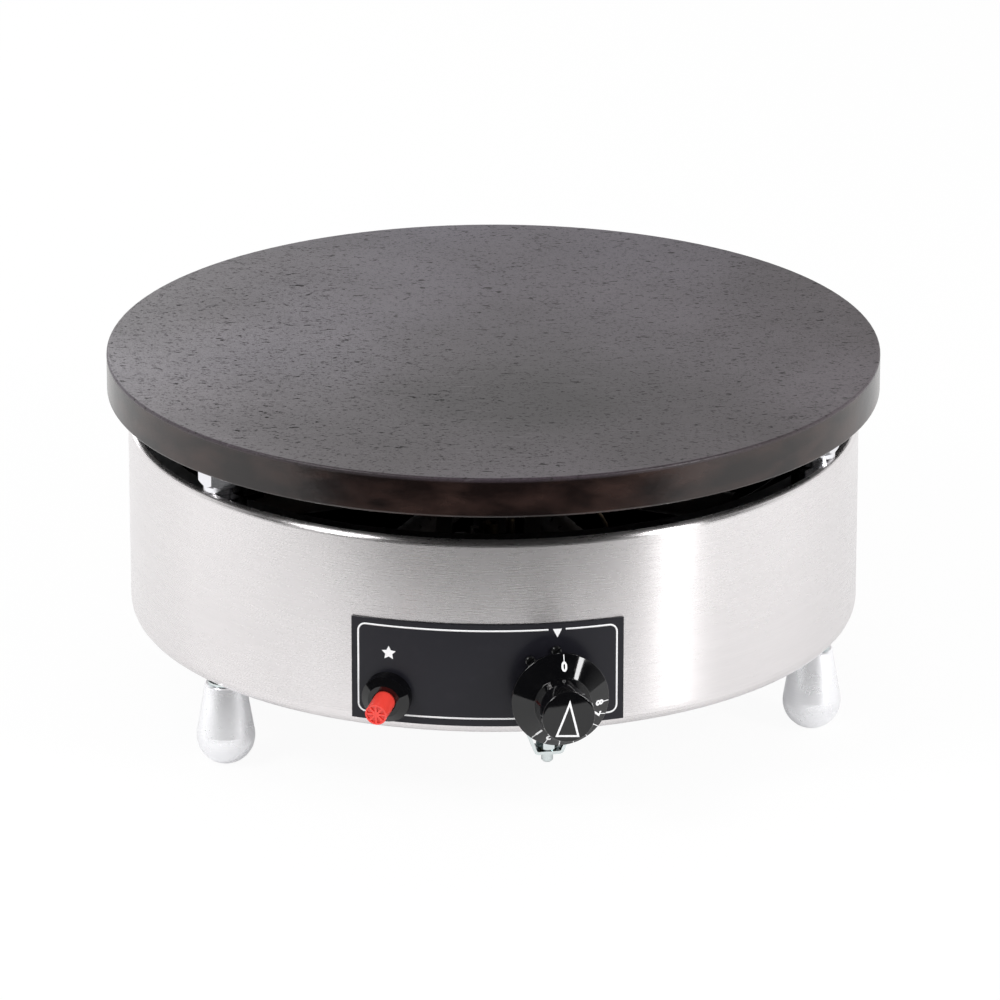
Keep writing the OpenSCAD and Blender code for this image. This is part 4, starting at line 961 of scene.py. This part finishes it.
def dress(coat: Coat, *nodes: str) -> None:
    """Gives nodes of the frame their finish.

    Args:
        coat: the finish.
        *nodes: names of the nodes.
    """
    for name in nodes:
        node = frame["nodes"][name]
        if not node.material_slots:
            node.data.materials.append(coat.material())
        for slot in node.material_slots:
            slot.material = coat.material()
        log.info("%s: %s", name, coat.value.name)


def mount(piece: Object, body: str, slot: str, *stands_for: str) -> Object:
    """Ties a finished piece to its body.

    Args:
        piece: the piece.
        body: the body that it moves with.
        slot: the record's material slot; not used.
        *stands_for: nodes that it replaces.

    Returns:
        The piece.
    """
    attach(piece, body)
    if stands_for:
        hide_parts(*stands_for)
    log.info("%s rides on %s, %d faces", piece.name, body, len(piece.data.polygons))
    return piece


def printed(name: str, mesh: Mesh, body: str, slot: str) -> None:
    """Puts printed marks into the scene.

    Args:
        name: name of the piece.
        mesh: its mesh, already in place.
        body: the body that it moves with.
        slot: the record's material slot.
    """
    mount(new_piece(name, mesh, Coat.WHITE.material(), smooth=False), body, slot)


# Sub-assemblies


@dataclass
class Griddle:
    """The cast-iron plate with its studs and posts."""

    posts: int = 3

    def build(self) -> None:
        """Dresses the plate, the studs and the posts."""
        dress(Coat.IRON, "griddle_plate")
        dress(Coat.POST, "griddle_studs", *(f"levelling_post_{i + 1}" for i in range(self.posts)))


@dataclass
class Drum:
    """The shell with everything that is fixed in it, and the feet."""

    feet: int = 3

    def build(self) -> None:
        """Dresses the drum's sheets, brackets and feet."""
        dress(Coat.SHELL, "outer_shell")
        dress(Coat.BASE, "base_plate")
        dress(Coat.ALUMINISED, "heat_shield", "bulb_clips")
        dress(Coat.RING, "top_ring")
        dress(Coat.ZINC, "foot_washers", "foot_bolts")
        dress(Coat.FOOT, *(f"foot_{i + 1}" for i in range(self.feet)))


@dataclass
class Burner:
    """The star burner, its mixing tube and its pilot."""

    arms: int = 8

    def build(self) -> None:
        """Dresses the burner and the pilot."""
        dress(Coat.BURNER, "burner_hub", *(f"burner_arm_{i + 1}" for i in range(self.arms)))
        dress(Coat.ALUMINISED, "mixing_tube", "burner_column", "burner_stands")
        dress(Coat.BRASS, "air_shutter", "injector_holder", "injector")
        dress(Coat.COPPER, "pilot_tube", "thermocouple_lead")
        dress(Coat.BRASS_IN_SHADE, "pilot_burner", "pilot_bracket", "thermocouple", "thermostat_bulb", "capillary")
        dress(Coat.CERAMIC, "spark_electrode")
        dress(Coat.LEAD, "ignition_lead")


@dataclass(frozen=True)
class Spring:
    """A coil spring on a fixed seat, wound along its joint's axis.

    Attributes:
        node: the node that it stands for.
        joint: the joint that presses it.
        turns: how often it winds round.
        wire: thickness of its wire.
        steps: number of points in a turn.
        sides: number of sides of the wire.
    """

    node: str
    joint: str
    turns: float = 7.0
    wire: float = 1 * MM
    steps: int = 24
    sides: int = 10

    def build(self) -> None:
        """Winds the spring in its node's place along its joint's axis."""
        places = [v.co.copy() for v in frame["nodes"][self.node].data.vertices]
        middle = sum(places, Vector()) / len(places)
        axis = Axis(middle, joint_axis(self.joint, inward=True).outward)
        low, high = axis.reach_of(self.node)
        away = max((p - middle).cross(axis.outward).length for p in places)
        thin = self.wire / 2
        g = Growth(
            self.node,
            {"Turns": self.turns, "Radius": away - thin, "Height": high - low - self.wire, "Wire": thin},
        )
        coil = g.add(
            "CurveSpiral",
            Resolution=self.steps,
            Rotations=g.size("Turns"),
            Start_Radius=g.size("Radius"),
            End_Radius=g.size("Radius"),
            Height=g.size("Height"),
        )
        wire = g.add("CurvePrimitiveCircle", Resolution=self.sides, Radius=g.size("Wire"))
        swept = g.add("CurveToMesh", Curve=coil, Profile_Curve=wire, Fill_Caps=True)
        mesh = g.grow(self.node, swept, Coat.BRIGHT.material())
        mesh.transform(axis.facing(low + thin))
        piece = new_piece(self.node + "_coil", mesh, Coat.BRIGHT.material())
        mount(piece, "base", "bright_steel", self.node)
        keep = 1.0 - max(joint_row(self.joint)["range_m"]) / (high - low)
        tuple(axis.outward)
        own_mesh(piece)


@dataclass
class GasWay:
    """The gas tap with its clamp, and the inlet with its pipe."""

    def build(self) -> None:
        """Dresses the tap, the clamp and the inlet."""
        dress(Coat.BRASS, "tap_body", "inlet_elbow", "inlet_locknut")
        dress(Coat.ZINC, "tap_bracket", "tap_clamp", "clamp_bolt", "clamp_nut")
        dress(Coat.COPPER, "feed_pipe")
        dress(Coat.BRIGHT, "tap_stem", "push_pin", "knob_clip")
        dress(Coat.SCREW, "panel_screws", "bypass_screw")
        Spring("stem_spring", "knob_push").build()


@dataclass
class Panel:
    """The black label plate with its border, pointer and spark mark."""

    line: float = 0.9 * MM
    top_inset: float = 3.1 * MM
    bottom_inset: float = 4.1 * MM
    side_azimuth: float = 19.85
    corner: float = 4.0 * MM
    corner_steps: int = 8
    border_step: float = 0.8 * MM
    pointer_azimuth: float = 10.6
    pointer_width: float = 4.6 * MM
    pointer_height: float = 4.6 * MM
    pointer_drop: float = 2.8 * MM
    gap: float = 4.1 * MM
    star_azimuth: float = -15.0
    star_drop: float = 17.5 * MM
    star_size: float = 3.8 * MM
    star_waist: float = 0.5
    star_points: int = 5

    def __post_init__(self) -> None:
        """Reads the plate's size from the frame."""
        low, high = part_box("control_panel")
        self.bottom, self.top = low.z, high.z
        self.radius = -low.y

    def wrap(self, azimuth: float, height: float) -> Wrap:
        """Gives a function that lays a flat figure on the plate.

        Args:
            azimuth: direction of the figure's origin.
            height: height of the figure's origin.

        Returns:
            A function from a flat point and its lift to a place.
        """

        def place(x: float, y: float, lift: float) -> Vector:
            """Takes one flat point to the plate."""
            turn = azimuth + math.degrees(x / self.radius)
            return around(turn, self.radius + PRINT_LIFT + lift, height + y)

        return place

    def border(self) -> Mesh:
        """Grows the border line, with its gap at the pointer.

        Returns:
            The mesh.
        """
        g = Growth(
            "panel_border",
            {
                "Half Width": self.radius * math.radians(self.side_azimuth),
                "Top": self.top - self.top_inset,
                "Bottom": self.bottom + self.bottom_inset,
                "Corner": self.corner,
                "Line": self.line,
                "Lift": PRINT_THICKNESS,
                "Radius": self.radius + PRINT_LIFT,
                "Gap Centre": self.radius * math.radians(self.pointer_azimuth),
                "Gap Half": self.gap,
            },
        )
        top, bottom, radius = g.size("Top"), g.size("Bottom"), g.size("Radius")
        square = {"mode": "RECTANGLE"}
        width = g.times(g.size("Half Width"), 2.0)
        sheet = g.add("CurvePrimitiveQuadrilateral", square, Width=width, Height=g.minus(top, bottom))
        corner = {"Count": self.corner_steps, "Radius": g.size("Corner")}
        fillet = g.add("FilletCurve", {"mode": "POLY"}, Curve=sheet, **corner)
        fine = g.add("ResampleCurve", {"mode": "LENGTH"}, Curve=fillet, Length=self.border_step)
        x, y, _ = g.split(g.add("InputPosition"))
        off = g.math("ABSOLUTE", g.minus(x, g.size("Gap Centre")))
        near = g.math("LESS_THAN", off, g.size("Gap Half"))
        at_gap = g.times(near, g.math("GREATER_THAN", y, 0.0))
        wire = g.add("CurveToMesh", Curve=fine)
        open_wire = g.add("DeleteGeometry", {"domain": "POINT"}, Geometry=wire, Selection=at_gap)
        cut = g.add("MeshToCurve", Mesh=open_wire)
        section = g.add(
            "CurvePrimitiveQuadrilateral", square, Width=g.size("Line"), Height=g.size("Lift")
        )
        tube = g.add("CurveToMesh", Curve=cut, Profile_Curve=section, Fill_Caps=True)
        x, y, z = g.split(g.add("InputPosition"))
        turn = g.math("DIVIDE", x, radius)
        reach = g.plus(g.plus(radius, z), g.times(g.size("Lift"), 0.5))
        middle = g.times(g.plus(top, bottom), 0.5)
        forward = g.times(g.times(reach, g.math("COSINE", turn)), -1.0)
        spot = g.join(g.times(reach, g.math("SINE", turn)), forward, g.plus(y, middle))
        bent = g.add("SetPosition", Geometry=tube, Position=spot)
        return g.grow("panel_border", bent, Coat.WHITE.material())

    def pointer(self) -> Mesh:
        """Makes the triangle that points at the knob."""
        w, h = self.pointer_width / 2, self.pointer_height
        tip = self.wrap(self.pointer_azimuth, self.top - self.pointer_drop)
        return slab("panel_pointer", [[(-w, 0), (w, 0), (0, -h)]], tip)

    def spark(self) -> Mesh:
        """Makes the star by the igniter.

        Returns:
            The mesh.
        """
        spikes = []
        for k in range(2 * self.star_points):
            reach = self.star_size if k % 2 == 0 else self.star_waist * self.star_size
            a = math.pi * k / self.star_points
            spikes.append((reach * math.sin(a), reach * math.cos(a)))
        return slab("spark_mark", [spikes], self.wrap(self.star_azimuth, self.top - self.star_drop))

    def build(self) -> None:
        """Dresses the plate and prints its marks."""
        dress(Coat.PANEL, "control_panel")
        printed("panel_border", self.border(), "base", "panel_black")
        printed("panel_pointer", self.pointer(), "base", "panel_black")
        printed("spark_mark", self.spark(), "base", "panel_black")


@dataclass
class Knob:
    """The gas knob: one glossy moulding of skirt and grip, with its scale."""

    skirt_r: float = 24.6 * MM
    edge: float = 1.6 * MM
    cone: float = 7.2 * MM
    grip_r: float = 14.4 * MM
    face_r: float = 13.25 * MM
    crown: float = 0.6 * MM
    crown_sweep: int = 66
    crown_step: int = 8
    wall: float = 1.8 * MM
    hub_r: float = 7.5 * MM
    bore_r: float = 4.3 * MM
    photo_turn: float = 3.7
    scale_first: float = 90.0
    scale_step: float = 17.6
    figures: int = 8
    figure_height: float = 3.9 * MM
    figure_r: float = 18.9 * MM
    tick_inner: float = 21.2 * MM
    tick_outer: float = 24.2 * MM
    tick_width: float = 0.42 * MM
    mark_half: float = 6.1 * MM
    mark_top: float = 9.3 * MM
    mark_bottom: float = -10.3 * MM
    mark_line: float = 1.0 * MM

    def __post_init__(self) -> None:
        """Reads the knob's axis and its reach from the frame."""
        self.axis = joint_axis("knob_turn")
        self.low, self.high = self.axis.reach_of("gas_knob")
        self.slope = math.atan2(self.cone, self.skirt_r - self.grip_r)

    def body(self) -> Mesh:
        """Turns the knob's moulding, hollow behind.

        Returns:
            The mesh.
        """
        top = self.high - self.low
        grip = self.edge + self.cone
        w = self.wall
        crown = [
            (self.face_r * math.sin(a), top - self.crown * math.sin(a) ** 2)
            for a in (math.radians(t) for t in range(0, self.crown_sweep, self.crown_step))
        ]
        face = rounded(
            [
                (*crown[-1], 0),
                (self.face_r, top - self.crown, 0.9 * MM),
                (self.grip_r, grip, 0.5 * MM),
                (self.skirt_r, self.edge, 0.6 * MM),
                (self.skirt_r, 0, 0.25 * MM),
                (self.skirt_r - w, 0, 0.2 * MM),
                (self.skirt_r - w, self.edge - w / 2, 0),
                (self.grip_r - w, grip - w / 2, 0.5 * MM),
                (self.face_r - w, top - 2 * w, 1 * MM),
                (self.hub_r, top - 2 * w, 0),
                (self.hub_r, 0, 0.2 * MM),
                (self.bore_r, 0, 0),
                (self.bore_r, top - 3 * w, 0),
                (0, top - 3 * w, 0),
            ]
        )
        return lathe("knob_moulding", crown[:-1] + face, self.axis.facing(self.low))

    def on_skirt(self, clock: float) -> Wrap:
        """Gives a function that lays a figure on the skirt's cone.

        Args:
            clock: direction of the figure, clockwise from the top, in degrees.

        Returns:
            A function from a flat point, centred on the figure, and its lift to a place.
        """
        a = math.radians(clock + self.photo_turn)
        place = self.axis.facing(self.low)

        def lay(x: float, y: float, lift: float) -> Vector:
            """Takes one flat point to the cone."""
            out = self.figure_r + y
            r = out + lift * math.sin(self.slope)
            turn = a + x / out
            rise = self.edge + (self.skirt_r - out) * math.tan(self.slope)
            rise += (lift + PRINT_LIFT) * math.cos(self.slope)
            return place @ Vector((r * math.sin(turn), r * math.cos(turn), rise))

        return lay

    def ticks(self) -> Mesh:
        """Grows the tick of each figure, round the skirt's edge.

        Returns:
            The mesh.
        """
        g = Growth(
            "knob_ticks",
            {
                "Count": self.figures + 1,
                "First": math.radians(self.scale_first + self.photo_turn),
                "Step": math.radians(self.scale_step),
                "Zero": math.radians(self.photo_turn),
                "Inner": self.tick_inner,
                "Outer": self.tick_outer,
                "Width": self.tick_width,
                "Lift": PRINT_THICKNESS,
                "Slope": self.slope,
                "Rise": self.edge + self.cone + PRINT_LIFT,
                "Root": self.grip_r,
            },
        )
        inner, outer, slope = g.size("Inner"), g.size("Outer"), g.size("Slope")
        index = g.add("InputIndex")
        later = g.math("GREATER_THAN", index, 0.5)
        scale = g.plus(g.size("First"), g.times(g.size("Step"), g.minus(index, 1.0)))
        angle = g.plus(g.times(later, scale), g.times(g.minus(1.0, later), g.size("Zero")))
        length = g.math("DIVIDE", g.minus(outer, inner), g.math("COSINE", slope))
        bar = g.add("MeshCube", Size=g.join(g.size("Width"), length, g.size("Lift")))
        middle = g.times(g.plus(outer, inner), 0.5)
        drop = g.times(g.minus(middle, g.size("Root")), g.math("TANGENT", slope))
        spot = g.join(0.0, middle, g.minus(g.size("Rise"), drop))
        laid = g.add("Transform", Geometry=bar, Rotation=g.join(g.times(slope, -1.0)), Translation=spot)
        turn = g.join(0.0, 0.0, g.times(angle, -1.0))
        points = g.add("Points", Count=g.size("Count"))
        ring = g.add("InstanceOnPoints", Points=points, Instance=laid, Rotation=turn)
        mesh = g.grow("knob_ticks", ring, Coat.WHITE.material())
        mesh.transform(self.axis.facing(self.low))
        return mesh

    def face_mark(self) -> Mesh:
        """Prints the outlined triangle on the grip's face.

        Returns:
            The mesh.
        """
        a = math.radians(-self.photo_turn)
        half, top, bottom, line = self.mark_half, self.mark_top, self.mark_bottom, self.mark_line
        lean = math.atan2(half, top - bottom)
        side = half - line / math.cos(lean) - line * math.tan(lean)
        inner = [(0, top - line / math.sin(lean)), (side, bottom + line), (-side, bottom + line)]
        place = self.axis.facing(self.high)

        def lay(x: float, y: float, lift: float) -> Vector:
            """Takes one flat point to the crowned face."""
            u = x * math.cos(a) - y * math.sin(a)
            v = x * math.sin(a) + y * math.cos(a)
            sag = self.crown * (u * u + v * v) / self.face_r**2
            return place @ Vector((u, v, lift + PRINT_LIFT - sag))

        return slab("knob_face_mark", [[(0, top), (half, bottom), (-half, bottom)], inner], lay)

    def build(self) -> None:
        """Makes the moulding and prints its scale."""
        body = new_piece("knob_moulding", self.body(), Coat.GLOSS.material())
        mount(body, "knob", "black_gloss", "gas_knob")
        printed("knob_ticks", self.ticks(), "knob", "black_gloss")
        printed("knob_face_mark", self.face_mark(), "knob", "black_gloss")
        for k in range(self.figures + 1):
            clock = 0.0 if k == 0 else self.scale_first + self.scale_step * (k - 1)
            figure = "0" if k == 0 else str(self.figures + 1 - k)
            name = f"knob_figure_{figure}"
            mesh = lettering(name, figure, self.figure_height, self.on_skirt(clock))
            printed(name, mesh, "knob", "black_gloss")


@dataclass
class Igniter:
    """The piezo igniter: bezel, red button and the body behind the panel."""

    def build(self) -> None:
        """Dresses the igniter."""
        dress(Coat.GLOSS, "igniter_bezel")
        dress(Coat.RED, "igniter_button")
        dress(Coat.SATIN, "igniter_body", "igniter_nut")
        Spring("igniter_spring", "igniter_push").build()


# Studio


@dataclass(frozen=True)
class Lamp:
    """A soft lamp, aimed at the machine.

    Attributes:
        name: name of the lamp.
        azimuth: its direction round the machine, in degrees.
        elevation: its height over the table, in degrees.
        away: its distance from the machine.
        size: its width and height.
        power: its power in watts.
        aim: height of the point that it is aimed at.
    """

    name: str
    azimuth: float
    elevation: float
    away: float
    size: tuple[float, float]
    power: float
    aim: float = 0.1

    def build(self) -> None:
        """Hangs the lamp."""
        data = bpy.data.lights.new(self.name, "AREA")
        data.shape = "RECTANGLE"
        data.size, data.size_y = self.size
        data.energy = self.power
        lamp = bpy.data.objects.new(self.name, data)
        e = math.radians(self.elevation)
        out = around(self.azimuth, self.away * math.cos(e), self.away * math.sin(e))
        lamp.location = out + Vector((0, 0, self.aim))
        lamp.rotation_mode = "QUATERNION"
        lamp.rotation_quaternion = (-out).to_track_quat("-Z", "Y")
        bpy.context.scene.collection.objects.link(lamp)


@dataclass
class Studio:
    """A pale table in a white room, three soft lamps and the camera."""

    azimuth: float = 0.91
    elevation: float = 20.36
    distance: float = 4.0
    lens: float = 276.3
    sensor: float = 36
    offset: float = 3.4 * MM
    height: float = 0.1007
    table_x: Point = (-1.6, 1.6)
    table_y: Point = (-0.46, 3.0)
    table_z: float = -0.2 * MM
    lamps: tuple[Lamp, ...] = (
        Lamp("side_lamp", 55, 20, 1.6, (0.23, 0.9), 13),
        Lamp("window_lamp", -54, 40, 1.7, (0.5, 0.5), 12),
        Lamp("left_lamp", -158, 23, 1.5, (0.7, 0.4), 2.6),
    )

    def camera(self) -> None:
        """Sets up the camera at the photograph's angle."""
        a, e = math.radians(self.azimuth), math.radians(self.elevation)
        back = Vector((math.sin(a) * math.cos(e), -math.cos(a) * math.cos(e), math.sin(e)))
        target = Vector((math.cos(a), math.sin(a), 0)) * self.offset + Vector((0, 0, self.height))
        data = bpy.data.cameras.new("camera")
        data.lens = self.lens
        data.sensor_width = self.sensor
        data.clip_end = 50
        camera = bpy.data.objects.new("camera", data)
        camera.location = target + back * self.distance
        camera.rotation_mode = "QUATERNION"
        camera.rotation_quaternion = (-back).to_track_quat("-Z", "Y")
        bpy.context.scene.collection.objects.link(camera)
        bpy.context.scene.camera = camera

    def table(self) -> None:
        """Makes the table, which shows white and keeps the machine's shadow."""
        (left, right), (front, back) = self.table_x, self.table_y

        def fill(bm: bmesh.types.BMesh) -> None:
            """Adds the table's one face."""
            spots = ((left, front), (right, front), (right, back), (left, back))
            bm.faces.new([bm.verts.new((x, y, self.table_z)) for x, y in spots])

        s = Shader("pale_table")
        s.set(Base_Color=(0.86, 0.86, 0.86, 1), Roughness=0.9, Specular_IOR_Level=0.0)
        rays = s.node("LightPath").outputs
        seen, glossed = s.times(rays["Is Camera Ray"], 0.94), s.times(s.shiny(rays), 0.25)
        white = s.run("Emission", {"Color": (1, 1, 1, 1)})
        share = s.math("MAXIMUM", seen, glossed)
        mixed = s.run("MixShader", {0: share, 1: s.surface.outputs[0], 2: white})
        s.feed(s.tree.nodes["Material Output"], "Surface", mixed)
        table = new_piece("table", mesh_of(fill, "table"), s.material, smooth=False)
        if table.data.polygons[0].normal.z < 0:
            table.data.flip_normals()

    def room(self) -> None:
        """Makes the surroundings: white to the camera, and to gloss behind the machine and low down."""
        world = bpy.data.worlds.new("room")
        bpy.context.scene.world = world
        world.use_nodes = True
        world.node_tree.nodes.clear()
        g = Graph(world.node_tree)
        rays = g.node("LightPath").outputs
        _, back, up = g.split(g.node("TexCoord").outputs["Generated"])
        gloss = g.times(g.range(back, -0.25, 0.25, 0.02, 1.0), g.range(up, 0.45, 0.75, 1.0, 0.12))
        fill = g.blend(g.shiny(rays), 0.78, gloss)
        level = g.blend(rays["Is Camera Ray"], fill, 1.0)
        glow = g.run("Background", {"Color": (1, 1, 1, 1), "Strength": level})
        g.feed(g.node("OutputWorld"), "Surface", glow)

    def build(self) -> None:
        """Sets up the whole studio."""
        bpy.context.scene.view_settings.view_transform = "Standard"
        self.camera()
        self.table()
        self.room()
        for lamp in self.lamps:
            lamp.build()


# Main


def main() -> None:
    """Builds the machine's looks, one sub-assembly after the other."""
    logging.basicConfig(level=logging.INFO, format="%(message)s")
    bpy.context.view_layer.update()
    for part in (Studio(), Griddle(), Drum(), Burner(), GasWay(), Panel(), Knob(), Igniter()):
        log.info("%s", type(part).__name__)
        part.build()


if __name__ == "__main__":
    main()
